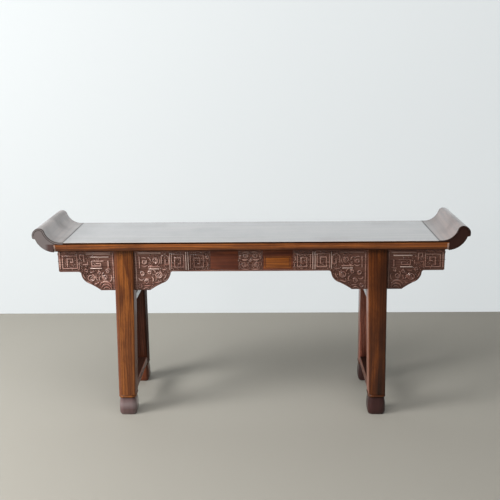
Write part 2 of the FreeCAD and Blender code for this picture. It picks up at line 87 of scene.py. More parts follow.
class Hand(Named):
    """The ends of the table, with the sign of X at each."""

    LEFT = -1
    RIGHT = 1


class Grain(Enum):
    """The direction of a board's grain, as the turn that brings it onto the pattern's X axis.

    The growth lines run across the pattern's Y axis, which lies across the face that shows.
    """

    ALONG_X = (0.0, 0.0, 0.0)
    ALONG_X_UPRIGHT = (-math.pi / 2, 0.0, 0.0)
    ALONG_Y = (0.0, 0.0, -math.pi / 2)
    ALONG_Y_UPRIGHT = (-math.pi / 2, -math.pi / 2, 0.0)
    ALONG_Z = (math.pi / 2, 0.0, math.pi / 2)


# Materials

class Graph:
    """A short way to add and join the nodes of one tree."""

    MIX_INPUTS = (0, 6, 7)
    MIX_RESULT = 2

    def __init__(self, tree: NodeTree) -> None:
        """Takes the tree to add to."""
        self.tree = tree

    def add(self, kind: str, **values: object) -> Node:
        """Adds a node.

        Args:
            kind: The node's type name, without the words that all shader nodes share.
            values: Settings of the node, or values of its inputs with spaces as underscores.

        Returns:
            The new node.
        """
        node = self.tree.nodes.new("ShaderNode" + kind)
        for name, value in values.items():
            socket = node.inputs.get(name.replace("_", " ")) if hasattr(node, "inputs") else None
            if socket is None:
                setattr(node, name, value)
            elif isinstance(value, NodeSocket):
                self.tree.links.new(value, socket)
            else:
                socket.default_value = value
        return node

    def join(self, source: NodeSocket, target: NodeSocket) -> None:
        """Links two sockets."""
        self.tree.links.new(source, target)

    def mix(
        self,
        amount: NodeSocket | float,
        first: NodeSocket | Colour,
        second: NodeSocket | Colour,
        blend: str = "MIX",
    ) -> NodeSocket:
        """Mixes two colours.

        Args:
            amount: The share of the second colour.
            first: The first colour, a socket or a fixed colour.
            second: The second colour, a socket or a fixed colour.
            blend: How the second colour acts on the first.

        Returns:
            The mixed colour's socket.
        """
        node = self.tree.nodes.new("ShaderNodeMix")
        node.data_type = "RGBA"
        node.blend_type = blend
        for value, index in zip((amount, first, second), self.MIX_INPUTS):
            socket = node.inputs[index]
            if isinstance(value, NodeSocket):
                self.tree.links.new(value, socket)
            elif isinstance(value, float):
                socket.default_value = value
            else:
                socket.default_value = (*value[:3], 1.0)
        return node.outputs[self.MIX_RESULT]

    def ramp(self, value: NodeSocket, low: float, high: float) -> NodeSocket:
        """Maps a value smoothly to 0 at low and 1 at high.

        Args:
            value: The socket to map.
            low: The value that gives 0.
            high: The value that gives 1.

        Returns:
            The mapped value's socket.
        """
        node = self.add("MapRange", interpolation_type="SMOOTHSTEP")
        self.join(value, node.inputs["Value"])
        node.inputs["From Min"].default_value = low
        node.inputs["From Max"].default_value = high
        return node.outputs["Result"]

    def maths(self, operation: str, *values: NodeSocket | float) -> NodeSocket:
        """Does one sum.

        Args:
            operation: The name of the sum.
            values: Sockets or numbers to work on.

        Returns:
            The result's socket.
        """
        node = self.add("Math", operation=operation)
        for value, socket in zip(values, node.inputs):
            if isinstance(value, NodeSocket):
                self.join(value, socket)
            else:
                socket.default_value = value
        return node.outputs[0]


def new_group(name: str, inputs: dict[str, str], outputs: dict[str, str]) -> tuple[Graph, dict, dict]:
    """Starts a node group with named sockets.

    Args:
        name: The group's name.
        inputs: Input names and their socket types.
        outputs: Output names and their socket types.

    Returns:
        The graph of the group, the sockets that bring its inputs, and the sockets that take its outputs.
    """
    tree = bpy.data.node_groups.new(name, "ShaderNodeTree")
    for label, kind in inputs.items():
        tree.interface.new_socket(label, in_out="INPUT", socket_type="NodeSocket" + kind)
    for label, kind in outputs.items():
        tree.interface.new_socket(label, in_out="OUTPUT", socket_type="NodeSocket" + kind)
    brings = tree.nodes.new("NodeGroupInput").outputs
    takes = tree.nodes.new("NodeGroupOutput").inputs
    return Graph(tree), brings, takes


def make_grain_group() -> NodeTree:
    """Builds the grain that every wood shares: broad figure, growth lines, fibres and open pores.

    Returns:
        The node group. Its Vector has the grain along X, and Fineness narrows the pattern across it.
    """
    graph, given, wanted = new_group(
        "wood_grain",
        {"Vector": "Vector", "Deep": "Color", "Pale": "Color", "Line": "Color", "Contrast": "Float",
         "Fineness": "Float"},
        {"Color": "Color", "Pores": "Float", "Height": "Float"},
    )
    across = graph.add("CombineXYZ", X=1.0, Y=given["Fineness"], Z=given["Fineness"])
    fine = graph.add("VectorMath", operation="MULTIPLY")
    graph.join(given["Vector"], fine.inputs[0])
    graph.join(across.outputs[0], fine.inputs[1])

    def stretched(length: float) -> NodeSocket:
        """The vector drawn out along the grain by a factor."""
        node = graph.add("VectorMath", operation="MULTIPLY")
        graph.join(fine.outputs[0], node.inputs[0])
        node.inputs[1].default_value = (1.0 / length, 1.0, 1.0)
        return node.outputs[0]

    figure = graph.add("TexNoise", Vector=stretched(9.0), Scale=11.0, Detail=3.0, Roughness=0.55, Distortion=0.7)
    growth = graph.add(
        "TexWave", wave_type="BANDS", bands_direction="Y", Vector=stretched(14.0), Scale=13.0, Distortion=7.0,
        Detail=2.5, Detail_Scale=1.4,
    )
    fibres = graph.add("TexNoise", Vector=stretched(40.0), Scale=260.0, Detail=4.0, Roughness=0.6)
    pores = graph.add("TexNoise", Vector=stretched(16.0), Scale=900.0, Detail=1.0)
    tone = graph.ramp(figure.outputs["Fac"], low=0.32, high=0.68)
    base = graph.mix(tone, given["Deep"], given["Pale"])
    lines = graph.maths("MULTIPLY", graph.ramp(growth.outputs["Fac"], low=0.45, high=0.95), given["Contrast"])
    lined = graph.mix(lines, base, given["Line"])
    streaks = graph.maths("MULTIPLY", graph.ramp(fibres.outputs["Fac"], low=0.42, high=0.7), given["Contrast"])
    fibred = graph.mix(streaks, lined, given["Line"])
    open_pores = graph.ramp(pores.outputs["Fac"], low=0.6, high=0.68)
    pore_depth = 0.6
    graph.join(fibred, wanted["Color"])
    graph.join(open_pores, wanted["Pores"])
    graph.join(graph.maths("MULTIPLY_ADD", open_pores, -pore_depth, fibres.outputs["Fac"]), wanted["Height"])
    return graph.tree


def make_patina_group() -> NodeTree:
    """Builds the patches of rubbed and darkened polish that wear leaves on an old table.

    Returns:
        The node group, which gives the aged colour and a mask of the dulled patches.
    """
    graph, given, wanted = new_group(
        "old_polish",
        {"Vector": "Vector", "Color": "Color", "Dark": "Color", "Amount": "Float"},
        {"Color": "Color", "Dull": "Float"},
    )
    clouds = graph.add("TexNoise", Vector=given["Vector"], Scale=5.5, Detail=4.0, Roughness=0.6)
    specks = graph.add("TexNoise", Vector=given["Vector"], Scale=75.0, Detail=3.0, Roughness=0.7)
    patches = graph.maths("MULTIPLY", graph.ramp(clouds.outputs["Fac"], low=0.42, high=0.72), given["Amount"])
    marks = graph.maths("MULTIPLY", graph.ramp(specks.outputs["Fac"], low=0.63, high=0.75), given["Amount"])
    both = graph.maths("MAXIMUM", patches, marks)
    graph.join(graph.mix(both, given["Color"], given["Dark"]), wanted["Color"])
    graph.join(both, wanted["Dull"])
    return graph.tree


def make_shade_group() -> NodeTree:
    """Builds the mask of a band across one axis: 1 between start and end, fading outside over soft.

    The band leans with the level by the slant, and shows only above one level and below another.

    Returns:
        The node group.
    """
    graph, given, wanted = new_group(
        "shade_band",
        {name: "Float" for name in ("Place", "Level", "Start", "End", "Soft", "Above", "Below", "Amount", "Slant")},
        {"Mask": "Float"},
    )
    distance = graph.maths("MULTIPLY_ADD", given["Level"], given["Slant"], graph.maths("ABSOLUTE", given["Place"]))
    under = graph.maths("SUBTRACT", given["Start"], distance)
    over = graph.maths("SUBTRACT", distance, given["End"])
    outside = graph.maths("MAXIMUM", graph.maths("MAXIMUM", under, over), 0.0)
    share = graph.maths("DIVIDE", outside, given["Soft"])
    inside = graph.maths("SUBTRACT", 1.0, graph.maths("MINIMUM", share, 1.0))
    high = graph.maths("GREATER_THAN", given["Level"], given["Above"])
    low = graph.maths("LESS_THAN", given["Level"], given["Below"])
    strength = graph.maths("MULTIPLY", graph.maths("MULTIPLY", high, low), given["Amount"])
    graph.join(graph.maths("MULTIPLY", inside, strength), wanted["Mask"])
    return graph.tree


@dataclass(frozen=True)
class Polish:
    """How the polish lies on the wood: the shine of the wood, of the clear coat and of the dust on it."""

    roughness: float = 0.42
    dulled: float = 0.2
    specular: float = 0.25
    coat: float = 1.0
    coat_roughness: float = 0.16
    coat_ior: float = 1.5
    haze: float = 0.0
    fade: float = 0.2


@dataclass(frozen=True)
class Shade:
    """Dirt, wear, painted shade and painted highlights in a band across one axis, on both sides of the table's
    middle.

    Its bare value is the share of the shine that it takes away, and its slant is how far it leans with height.
    """

    axis: str
    start: float
    end: float
    soft: float
    colour: Colour
    amount: float = 0.85
    above: float = -1.0
    below: float = 9.0
    bare: float = 1.0
    slant: float = 0.0


@dataclass(frozen=True)
class Crown:
    """Another tone and polish above a height, as on a rail whose upper face is polished with the panel."""

    height: float
    deep: Colour
    pale: Colour
    line: Colour
    polish: Polish


@dataclass(frozen=True)
class WoodFinish:
    """One finish of the table's wood."""

    AGED_SHARE = 0.45

    slot: str
    grain: Grain
    deep: Colour
    pale: Colour
    line: Colour
    contrast: float = 0.55
    fineness: float = 1.0
    patina: float = 0.5
    polish: Polish = field(default_factory=Polish)
    shades: tuple[Shade, ...] = ()
    variant: str = ""
    crown: Crown | None = None

    def material(self, grain_group: NodeTree, patina_group: NodeTree, shade_group: NodeTree) -> Material:
        """Builds the material.

        Args:
            grain_group: The shared grain.
            patina_group: The shared old polish.
            shade_group: The shared band mask.

        Returns:
            The new material.
        """
        material = bpy.data.materials.new(self.slot + self.variant)
        material.use_nodes = True
        material.node_tree.nodes.clear()
        graph = Graph(material.node_tree)
        place = graph.add("TexCoord").outputs["Object"]
        turned = graph.add("Mapping", Vector=place, Rotation=self.grain.value)
        wood = graph.add("Group", node_tree=grain_group)
        graph.join(turned.outputs["Vector"], wood.inputs["Vector"])
        crowned = self._crowned(graph, place) if self.crown else None
        for name in ("deep", "pale", "line"):
            socket = wood.inputs[name.capitalize()]
            if crowned:
                graph.join(graph.mix(crowned, getattr(self, name), getattr(self.crown, name)), socket)
            else:
                socket.default_value = (*getattr(self, name), 1.0)
        wood.inputs["Contrast"].default_value = self.contrast
        wood.inputs["Fineness"].default_value = self.fineness
        aged = graph.add("Group", node_tree=patina_group)
        graph.join(place, aged.inputs["Vector"])
        graph.join(wood.outputs["Color"], aged.inputs["Color"])
        aged.inputs["Dark"].default_value = (*(self.AGED_SHARE * part for part in self.deep), 1.0)
        aged.inputs["Amount"].default_value = self.patina
        colour = aged.outputs["Color"]
        polish = {
            name: self._level(graph, crowned, name)
            for name in ("roughness", "dulled", "specular", "coat", "coat_roughness", "coat_ior", "haze")
        }
        kept = graph.maths("MULTIPLY_ADD", aged.outputs["Dull"], -self.polish.fade, 1.0)
        for shade in self.shades:
            mask = self._mask(graph, place, shade, shade_group)
            colour = graph.mix(mask, colour, shade.colour)
            kept = graph.maths("MULTIPLY", kept, graph.maths("MULTIPLY_ADD", mask, -shade.bare, 1.0))
        for name in ("specular", "coat"):
            polish[name] = graph.maths("MULTIPLY", polish[name], kept)
        bump = graph.add("Bump", Strength=0.12, Distance=0.0006, Height=wood.outputs["Height"])
        shader = graph.add(
            "BsdfPrincipled", Base_Color=colour, Normal=bump.outputs["Normal"],
            Roughness=graph.maths("MULTIPLY_ADD", aged.outputs["Dull"], polish["dulled"], polish["roughness"]),
            Coat_Weight=polish["coat"], Coat_Roughness=polish["coat_roughness"], Coat_IOR=polish["coat_ior"],
            Specular_IOR_Level=polish["specular"], Sheen_Weight=polish["haze"], Sheen_Roughness=0.5,
            Sheen_Tint=(0.8, 0.92, 1.0, 1.0),
        )
        output = graph.add("OutputMaterial")
        graph.join(shader.outputs["BSDF"], output.inputs["Surface"])
        return material

    def _crowned(self, graph: Graph, place: NodeSocket) -> NodeSocket:
        """Gives a socket with 1 above the crown's height and 0 below it."""
        parts = graph.add("SeparateXYZ", Vector=place)
        return graph.maths("GREATER_THAN", parts.outputs["Z"], self.crown.height)

    def _level(self, graph: Graph, crowned: NodeSocket | None, name: str) -> NodeSocket | float:
        """Gives one value of the polish, which changes at the crown's height where there is a crown.

        Args:
            graph: The material's graph.
            crowned: The crown's mask.
            name: The value's name.

        Returns:
            A number, or the socket that brings it.
        """
        low = getattr(self.polish, name)
        if crowned is None or getattr(self.crown.polish, name) == low:
            return low
        return graph.maths("MULTIPLY_ADD", crowned, getattr(self.crown.polish, name) - low, low)

    @staticmethod
    def _mask(graph: Graph, place: NodeSocket, shade: Shade, shade_group: NodeTree) -> NodeSocket:
        """Finds how much of a shade lies at a place.

        Args:
            graph: The material's graph.
            place: The position socket.
            shade: The shade.
            shade_group: The shared band mask.

        Returns:
            The mask's socket.
        """
        parts = graph.add("SeparateXYZ", Vector=place)
        band = graph.add("Group", node_tree=shade_group)
        graph.join(parts.outputs[shade.axis], band.inputs["Place"])
        graph.join(parts.outputs["Z"], band.inputs["Level"])
        for name in ("start", "end", "soft", "above", "below", "amount", "slant"):
            band.inputs[name.capitalize()].default_value = getattr(shade, name)
        return band.outputs["Mask"]


# Shapes

def arc_through(start: Point, middle: Point, end: Point, steps: int = 10) -> list[Point]:
    """Points on the round curve through three points.

    Args:
        start: Where the curve starts.
        middle: A point that it passes.
        end: Where it ends.
        steps: How many runs the curve gets.

    Returns:
        The points, both ends included.
    """
    a, b, c = Vector(start), Vector(middle), Vector(end)
    turn = 2 * ((b - a).x * (c - a).y - (b - a).y * (c - a).x)
    if abs(turn) < NEAR ** 2:
        return [tuple(a.lerp(c, step / steps)) for step in range(steps + 1)]
    ab, ac = (b - a).length_squared, (c - a).length_squared
    centre = a + Vector((
        ((c - a).y * ab - (b - a).y * ac) / turn,
        ((b - a).x * ac - (c - a).x * ab) / turn,
    ))
    first = math.atan2(a.y - centre.y, a.x - centre.x)
    sweep = math.atan2(c.y - centre.y, c.x - centre.x) - first
    if (turn > 0) != (sweep > 0):
        sweep += math.copysign(2 * math.pi, turn)
    radius = (a - centre).length
    return [
        (
            centre.x + radius * math.cos(first + sweep * step / steps),
            centre.y + radius * math.sin(first + sweep * step / steps),
        )
        for step in range(steps + 1)
    ]


def spiral(
    centre: Point, inner: float, outer: float, start: float, turns: float, turn_steps: int = 14
) -> list[Point]:
    """Points on a spiral that opens from its middle.

    Args:
        centre: The spiral's middle.
        inner: The radius where it starts.
        outer: The radius where it ends.
        start: The angle where it starts, in turns.
        turns: How far it turns, at least half a turn; negative turns the other way.
        turn_steps: How many runs a full turn gets.

    Returns:
        The points, from the middle outwards.
    """
    steps = round(abs(turns) * turn_steps)
    points = []
    for step in range(steps + 1):
        share = step / steps
        radius = inner + (outer - inner) * share
        angle = 2 * math.pi * (start + turns * share)
        points.append((centre[0] + radius * math.cos(angle), centre[1] + radius * math.sin(angle)))
    return points


def mitres(path: Sequence[Point], closed: bool) -> list[Vector]:
    """Sideways vectors at each point of a path, longer at corners so that the sides stay parallel.

    Args:
        path: The path's points.
        closed: Whether the last point joins the first.

    Returns:
        One vector for each point.
    """
    points = [Vector(point) for point in path]
    result = []
    for index, point in enumerate(points):
        before = points[index - 1] if index or closed else None
        after = points[(index + 1) % len(points)] if closed or index + 1 < len(points) else None
        runs = []
        if before is not None:
            runs.append((point - before).normalized())
        if after is not None:
            runs.append((after - point).normalized())
        sides = [Vector((-run.y, run.x)) for run in runs]
        middle = (sides[0] + sides[-1]).normalized()
        result.append(middle / max(middle.dot(sides[0]), 0.5))
    return result


def swelling(low: float, high: float) -> Callable[[float], float]:
    """A width that grows from one end to the middle and shrinks to the other end."""
    return lambda share: low + (high - low) * math.sin(math.pi * share)


def fading(start: float, end: float) -> Callable[[float], float]:
    """A width that changes evenly from one end to the other."""
    return lambda share: start + (end - start) * share


def only(kind: type, parts: list) -> list:
    """The parts of one kind."""
    return [part for part in parts if isinstance(part, kind)]


def meshed(name: str, shape: BMesh) -> Mesh:
    """Turns a shape into a mesh and frees the shape.

    Args:
        name: The mesh's name.
        shape: The shape.

    Returns:
        The new mesh.
    """
    mesh = bpy.data.meshes.new(name)
    shape.to_mesh(mesh)
    shape.free()
    return mesh


def stand(name: str, data: bpy.types.ID) -> Object:
    """Adds an object to the scene.

    Args:
        name: The object's name.
        data: Its mesh, lamp or camera.

    Returns:
        The new object.
    """
    item = bpy.data.objects.new(name, data)
    bpy.context.scene.collection.objects.link(item)
    return item


class Carver:
    """Raises carving from the upright face of a board."""

    EMBED = 0.001
    SPACING = 0.003
    SOFT_REACH = 1.6
    SHARP = math.radians(35.0)
    PEARL_STEPS = (14, 8)
    STIPPLE_STEPS = (8, 6)
    STIPPLE_TRIES = 900
    STIPPLE_RADII = (0.0018, 0.003)
    STIPPLE_RISE = 1.8

    def __init__(self, ground: float) -> None:
        """Takes Y of the face that the carving stands on; it rises towards -Y."""
        self.shape = bmesh.new()
        self.ground = ground
        self.taken: list[tuple[float, float, float]] = []

    def stroke(
        self,
        path: Sequence[Point],
        width: float | Callable[[float], float],
        rise: float,
        softness: float = 0.2,
        closed: bool = False,
    ) -> None:
        """Raises one stroke along a path of X and Z.

        Args:
            path: The middle line of the stroke.
            width: Its width, fixed or by share of its length.
            rise: How far it stands out of the face.
            softness: The rounding of its upper edges, as a share of its width.
            closed: Whether the stroke is a ring.
        """
        count = len(path)
        widths = [width(index / (count - 1)) if callable(width) else width for index in range(count)]
        sides = mitres(path, closed)
        for (a, b), (c, d) in zip(path, [*path[1:], path[0]] if closed else path[1:]):
            steps = max(1, round(math.hypot(c - a, d - b) / self.SPACING))
            share = [(step + 0.5) / steps for step in range(steps)]
            self.taken += [(a + (c - a) * part, b + (d - b) * part, max(widths) / 2) for part in share]
        pairs = [
            (Vector(point) + side * across / 2, Vector(point) - side * across / 2)
            for point, side, across in zip(path, sides, widths)
        ]
        work = bmesh.new()
        self._ribbon(work, pairs + pairs[:1] if closed else pairs)
        if closed:
            bmesh.ops.remove_doubles(work, verts=work.verts[:], dist=1e-6)
        crown = self._raise(work, rise)
        self._soften(work, crown, min(widths[count // 2], rise * self.SOFT_REACH) * softness)
        self._gather(work)

    def _gather(self, work: BMesh) -> None:
        """Adds a finished shape to the carving and frees it."""
        mesh = meshed("stroke", work)
        self.shape.from_mesh(mesh)
        bpy.data.meshes.remove(mesh)

    def _ribbon(self, work: BMesh, pairs: Sequence[tuple[Vector, Vector]]) -> None:
        """Lays a flat ribbon through pairs of side points.

        Args:
            work: The shape to lay it in.
            pairs: The left and the right side point at each step.
        """
        level = self.ground + self.EMBED
        left, right = (work.verts.new((side.x, level, side.y)) for side in pairs[0])
        edge = work.edges.new((left, right))
        for new_left, new_right in pairs[1:]:
            grown = bmesh.ops.extrude_edge_only(work, edges=[edge])["geom"]
            fresh = only(BMVert, grown)
            if any(link.other_vert(fresh[0]) is right for link in fresh[0].link_edges):
                fresh.reverse()
            left, right = fresh
            for vertex, target in ((left, new_left), (right, new_right)):
                shift = Vector((target.x, level, target.y)) - vertex.co
                bmesh.ops.translate(work, verts=[vertex], vec=shift)
            edge = work.edges.get((left, right))

    def _raise(self, work: BMesh, rise: float) -> list[BMFace]:
        """Raises a flat ribbon into a solid.

        Args:
            work: The shape that holds the ribbon.
            rise: How far it goes.

        Returns:
            The raised upper faces.
        """
        grown = bmesh.ops.extrude_face_region(work, geom=work.faces[:])["geom"]
        bmesh.ops.translate(work, verts=only(BMVert, grown), vec=(0.0, -(rise + self.EMBED), 0.0))
        return only(BMFace, grown)

    @staticmethod
    def _soften(work: BMesh, crown: list[BMFace], amount: float) -> None:
        """Rounds the edges between the upper faces and their sides.

        Args:
            work: The shape.
            crown: The upper faces.
            amount: The width of the rounding.
        """
        inside = set(crown)
        rim = [
            edge for edge in {edge for face in crown for edge in face.edges}
            if sum(face in inside for face in edge.link_faces) == 1
        ]
        bmesh.ops.bevel(
            work, geom=rim, offset=amount, offset_type="OFFSET", affect="EDGES", segments=3, profile=0.5,
            clamp_overlap=True, material=-1,
        )

    def pearl(self, centre: Point, radius: float, rise: float) -> None:
        """Raises a round boss.

        Args:
            centre: Its middle, in X and Z.
            radius: Its radius in the face.
            rise: How far it stands out of the face.
        """
        place = Matrix.Translation((centre[0], self.ground, centre[1]))
        squash = Matrix.Diagonal((1.0, rise / radius, 1.0, 1.0))
        turned = Matrix.Rotation(math.pi / 2, 4, "X")
        across, up = self.PEARL_STEPS if radius > self.STIPPLE_RADII[1] else self.STIPPLE_STEPS
        work = bmesh.new()
        bmesh.ops.create_uvsphere(
            work, u_segments=across, v_segments=up, radius=radius, matrix=place @ squash @ turned
        )
        self._gather(work)
        self.taken.append((*centre, radius))

    def stipple(self, outline: Sequence[Point], top: float, seed: int) -> None:
        """Fills the free ground with small bosses at seeded places.

        Args:
            outline: The lower outline of the ground, in order of X.
            top: Z up to which the ground shows.
            seed: The seed of the places.
        """
        chance = random.Random(seed)
        left, right = outline[0][0], outline[-1][0]
        bottom = min(point[1] for point in outline)
        for _ in range(self.STIPPLE_TRIES):
            x, z = chance.uniform(left, right), chance.uniform(bottom, top)
            radius = chance.uniform(*self.STIPPLE_RADII)
            run = next((pair for pair in zip(outline, outline[1:]) if pair[0][0] <= x <= pair[1][0]), None)
            if run is None or z - radius < max(run[0][1], run[1][1]):
                continue
            if all(math.hypot(x - a, z - b) > radius + reach for a, b, reach in self.taken):
                self.pearl((x, z), radius, radius * self.STIPPLE_RISE)

    def finish(self, name: str, mirror: tuple[int, int], material: Material) -> Object:
        """Makes an object of what is carved so far, in one quarter of the table.

        Args:
            name: The piece's name.
            mirror: Signs for X and for Y; -1 mirrors.
            material: The wood it is carved in.

        Returns:
            The new object.
        """
        shape = self.shape.copy()
        bmesh.ops.scale(shape, verts=shape.verts, vec=(mirror[0], mirror[1], 1.0))
        bmesh.ops.recalc_face_normals(shape, faces=shape.faces)
        return make_object(name, shape, material, self.SHARP)


def make_object(name: str, shape: BMesh, material: Material, sharp: float) -> Object:
    """Makes a smooth-shaded object of a shape and frees the shape.

    Args:
        name: The piece's name.
        shape: The shape.
        material: Its material.
        sharp: Edges that turn more than this stay sharp.

    Returns:
        The new object, at the origin.
    """
    mesh = meshed(name, shape)
    mesh.polygons.foreach_set("use_smooth", [True] * len(mesh.polygons))
    mesh.set_sharp_from_angle(angle=sharp)
    mesh.materials.append(material)
    return stand(name, mesh)


def settle(piece: Object, slot: str) -> None:
    """Rides a piece on the table and logs its count of faces."""
    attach(piece, "root")
    log.info("%s: %d faces", piece.name, len(piece.data.polygons))


# Sub-assemblies

@dataclass
class Finishes:
    """All finishes of the table, built once and given out by name."""

    materials: dict[str, Material] = field(default_factory=dict)

    TOP = Polish(roughness=0.3, dulled=0.08, specular=1.0, coat_roughness=0.14, coat_ior=2.1, haze=0.22)
    ENDS = Polish(roughness=0.34, dulled=0.1, specular=1.0, coat_roughness=0.18, coat_ior=1.75, fade=0.5)
    CARVED = Polish(roughness=0.3, dulled=0.16, specular=0.6, coat_roughness=0.12, coat_ior=1.7)
    WAXED = Polish(specular=0.15, coat=0.5, coat_roughness=0.2)
    FADED = Polish(specular=0.05, coat=0.15, coat_roughness=0.25)
    FOOT = Polish(roughness=0.35, coat_roughness=0.22, coat_ior=1.8)
    STRETCHER = Polish(specular=0.1, coat=0.35, coat_roughness=0.2)

    # Dirt in the joints, and painted shade in creases, quirks and under the rails.
    DIRT = (0.012, 0.005, 0.003)
    TOP_TONES = ((0.085, 0.055, 0.048), (0.14, 0.098, 0.084), (0.06, 0.036, 0.03))
    END_TONES = ((0.085, 0.045, 0.036), (0.17, 0.095, 0.075), (0.045, 0.02, 0.016))
    LEG_TONES = ((0.09, 0.023, 0.005), (0.30, 0.094, 0.016), (0.04, 0.011, 0.004))
    SHADED_TONES = ((0.06, 0.015, 0.0035), (0.175, 0.046, 0.007), (0.026, 0.006, 0.002))

    def build(self) -> None:
        """Builds every material."""
        groups = (make_grain_group(), make_patina_group(), make_shade_group())
        for finish in (*self._top_woods(), *self._board_woods(), *self._leg_woods(), *self._foot_woods()):
            self.materials[finish.slot + finish.variant] = finish.material(*groups)
        log.info("finishes: %d", len(self.materials))

    def _top_woods(self) -> tuple[WoodFinish, ...]:
        """Gives the woods of the top: dirty seams, dark arrises, and painted light and shade on the rails and ends.

        Returns:
            The finishes of the panel, the rails, the ends and the battens.
        """
        seam = Shade("X", 0.8296, 0.8344, soft=0.0006, colour=self.DIRT, amount=0.95, above=0.8128)
        # Darkens the ends' chamfered arrises and takes their shine away.
        arris = Shade("Y", 0.2062, 0.20985, soft=0.0003, colour=self.DIRT, amount=0.97)
        # Painted shade in the quirk under the top's front edge, on the rails.
        quirk_shade = Shade("Z", 0.8112, 0.8186, soft=0.0006, colour=self.DIRT, amount=0.9, below=0.8188)
        # A pale line on the rails' upper front arris: wear and a painted highlight.
        edge = Shade("Y", 0.2072, 0.2096, soft=0.001, colour=(0.60, 0.50, 0.42), amount=0.4, above=0.8187, bare=0.3)
        # Painted shade along the rails' undersides.
        rail_underside_shade = Shade("Z", 0.770, 0.7785, soft=0.003, colour=self.DIRT, amount=0.85)
        # Painted highlight: a pale line at each rail's end, where it meets an end board.
        rail_end_highlight = Shade("X", 0.869, 0.877, soft=0.001, colour=(0.62, 0.48, 0.42), amount=0.5, below=0.808)
        # Painted reflection: the face of the left end, which faces the light, paler and greyer.
        lit_face = Shade("Y", 0.2099, 0.3, soft=0.0001, colour=(0.15, 0.13, 0.13), amount=0.85, bare=0.4)
        # Painted shade: the face of the right end, away from the light, dark and dull.
        shaded_face = Shade("Y", 0.2099, 0.3, soft=0.0001, colour=(0.032, 0.014, 0.011), amount=0.92)
        # Painted shade low on the left end, beside the rail's end.
        end_joint_shade = Shade("X", 0.86, 0.897, soft=0.016, colour=(0.05, 0.018, 0.015), amount=0.75, below=0.8125)
        return (
            WoodFinish("panel_wood", Grain.ALONG_X, *self.TOP_TONES, polish=self.TOP, shades=(seam,)),
            WoodFinish("rail_wood", Grain.ALONG_X_UPRIGHT, (0.13, 0.03, 0.009), (0.43, 0.13, 0.025),
                       (0.08, 0.019, 0.006), contrast=0.6, fineness=1.4, patina=0.6, polish=self.WAXED,
                       shades=(seam, quirk_shade, rail_underside_shade, rail_end_highlight, edge),
                       crown=Crown(0.8187, *self.TOP_TONES, self.TOP)),
            # The left end carries the painted light; a shaded copy serves the right end.
            WoodFinish("end_wood", Grain.ALONG_Y, *self.END_TONES, contrast=0.35, patina=0.8, polish=self.ENDS,
                       shades=(seam, arris, lit_face, end_joint_shade)),
            WoodFinish("end_wood", Grain.ALONG_Y, *self.END_TONES, contrast=0.35, patina=0.6, polish=self.ENDS,
                       shades=(seam, arris, shaded_face), variant="_shaded"),
            WoodFinish("batten_wood", Grain.ALONG_Y, (0.05, 0.025, 0.012), (0.09, 0.045, 0.02), (0.03, 0.012, 0.006)),
        )

    def _board_woods(self) -> tuple[WoodFinish, ...]:
        """Gives the woods below the top: dirt and painted shade deep in the carving, painted highlights on its tips.

        Returns:
            The finishes of the aprons, the spandrels and their carving.
        """
        # Dirt and painted shade deep in the carving, near its ground.
        crevice_dirt_and_shade = Shade("Y", 0.159, 0.1613, soft=0.0024, colour=(0.02, 0.009, 0.006), amount=0.95)
        # Painted highlights on the carving's proudest tips.
        tip_highlights = Shade("Y", 0.1651, 0.18, soft=0.0003, colour=(0.95, 0.80, 0.72), amount=0.8, bare=0.0)
        # Painted light along the boards' tops, just under the rail, against its shade.
        board_top_light = Shade("Z", 0.756, 0.78, soft=0.03, colour=(0.26, 0.115, 0.085), amount=0.6, bare=0.0)
        # Dirt and painted shade low on the raised fields' wood, at the apron's foot.
        field_foot_dirt_and_shade = Shade("Z", 0.6, 0.6738, soft=0.001, colour=self.DIRT, amount=0.85)
        return (
            WoodFinish("apron_wood", Grain.ALONG_X_UPRIGHT, (0.10, 0.035, 0.022), (0.19, 0.075, 0.05),
                       (0.05, 0.017, 0.012), fineness=2.0, polish=self.WAXED, shades=(board_top_light,)),
            WoodFinish("apron_wood", Grain.ALONG_Y_UPRIGHT, (0.12, 0.038, 0.02), (0.22, 0.075, 0.04),
                       (0.05, 0.017, 0.012), contrast=0.4, polish=self.WAXED, variant="_end"),
            WoodFinish("apron_wood", Grain.ALONG_X_UPRIGHT, (0.094, 0.0205, 0.0093), (0.28, 0.074, 0.028),
                       (0.07, 0.018, 0.01), contrast=0.5, fineness=1.3, polish=self.WAXED, shades=(field_foot_dirt_and_shade,),
                       variant="_field"),
            WoodFinish("apron_wood", Grain.ALONG_X_UPRIGHT, (0.20, 0.05, 0.009), (0.44, 0.135, 0.02),
                       (0.10, 0.025, 0.006), contrast=0.5, fineness=1.5, polish=self.WAXED, shades=(crevice_dirt_and_shade,),
                       variant="_framed"),
            WoodFinish("spandrel_wood", Grain.ALONG_X_UPRIGHT, (0.11, 0.046, 0.032), (0.21, 0.095, 0.07),
                       (0.06, 0.022, 0.016), fineness=2.0, polish=self.WAXED, shades=(board_top_light,)),
            # The carving's pinkish pale tones hold a painted reflection of its polish.
            WoodFinish("spandrel_wood", Grain.ALONG_X_UPRIGHT, (0.27, 0.095, 0.062), (0.62, 0.35, 0.27),
                       (0.12, 0.042, 0.03), contrast=0.85, fineness=4.0, patina=0.8, polish=self.CARVED,
                       shades=(crevice_dirt_and_shade, tip_highlights), variant="_carving"),
            # The lit copy, paler still, for the carving on the left half.
            WoodFinish("spandrel_wood", Grain.ALONG_X_UPRIGHT, (0.40, 0.16, 0.115), (0.86, 0.56, 0.47),
                       (0.16, 0.06, 0.045), contrast=0.85, fineness=4.0, patina=0.8, polish=self.CARVED,
                       shades=(crevice_dirt_and_shade, tip_highlights), variant="_carving_lit"),
        )

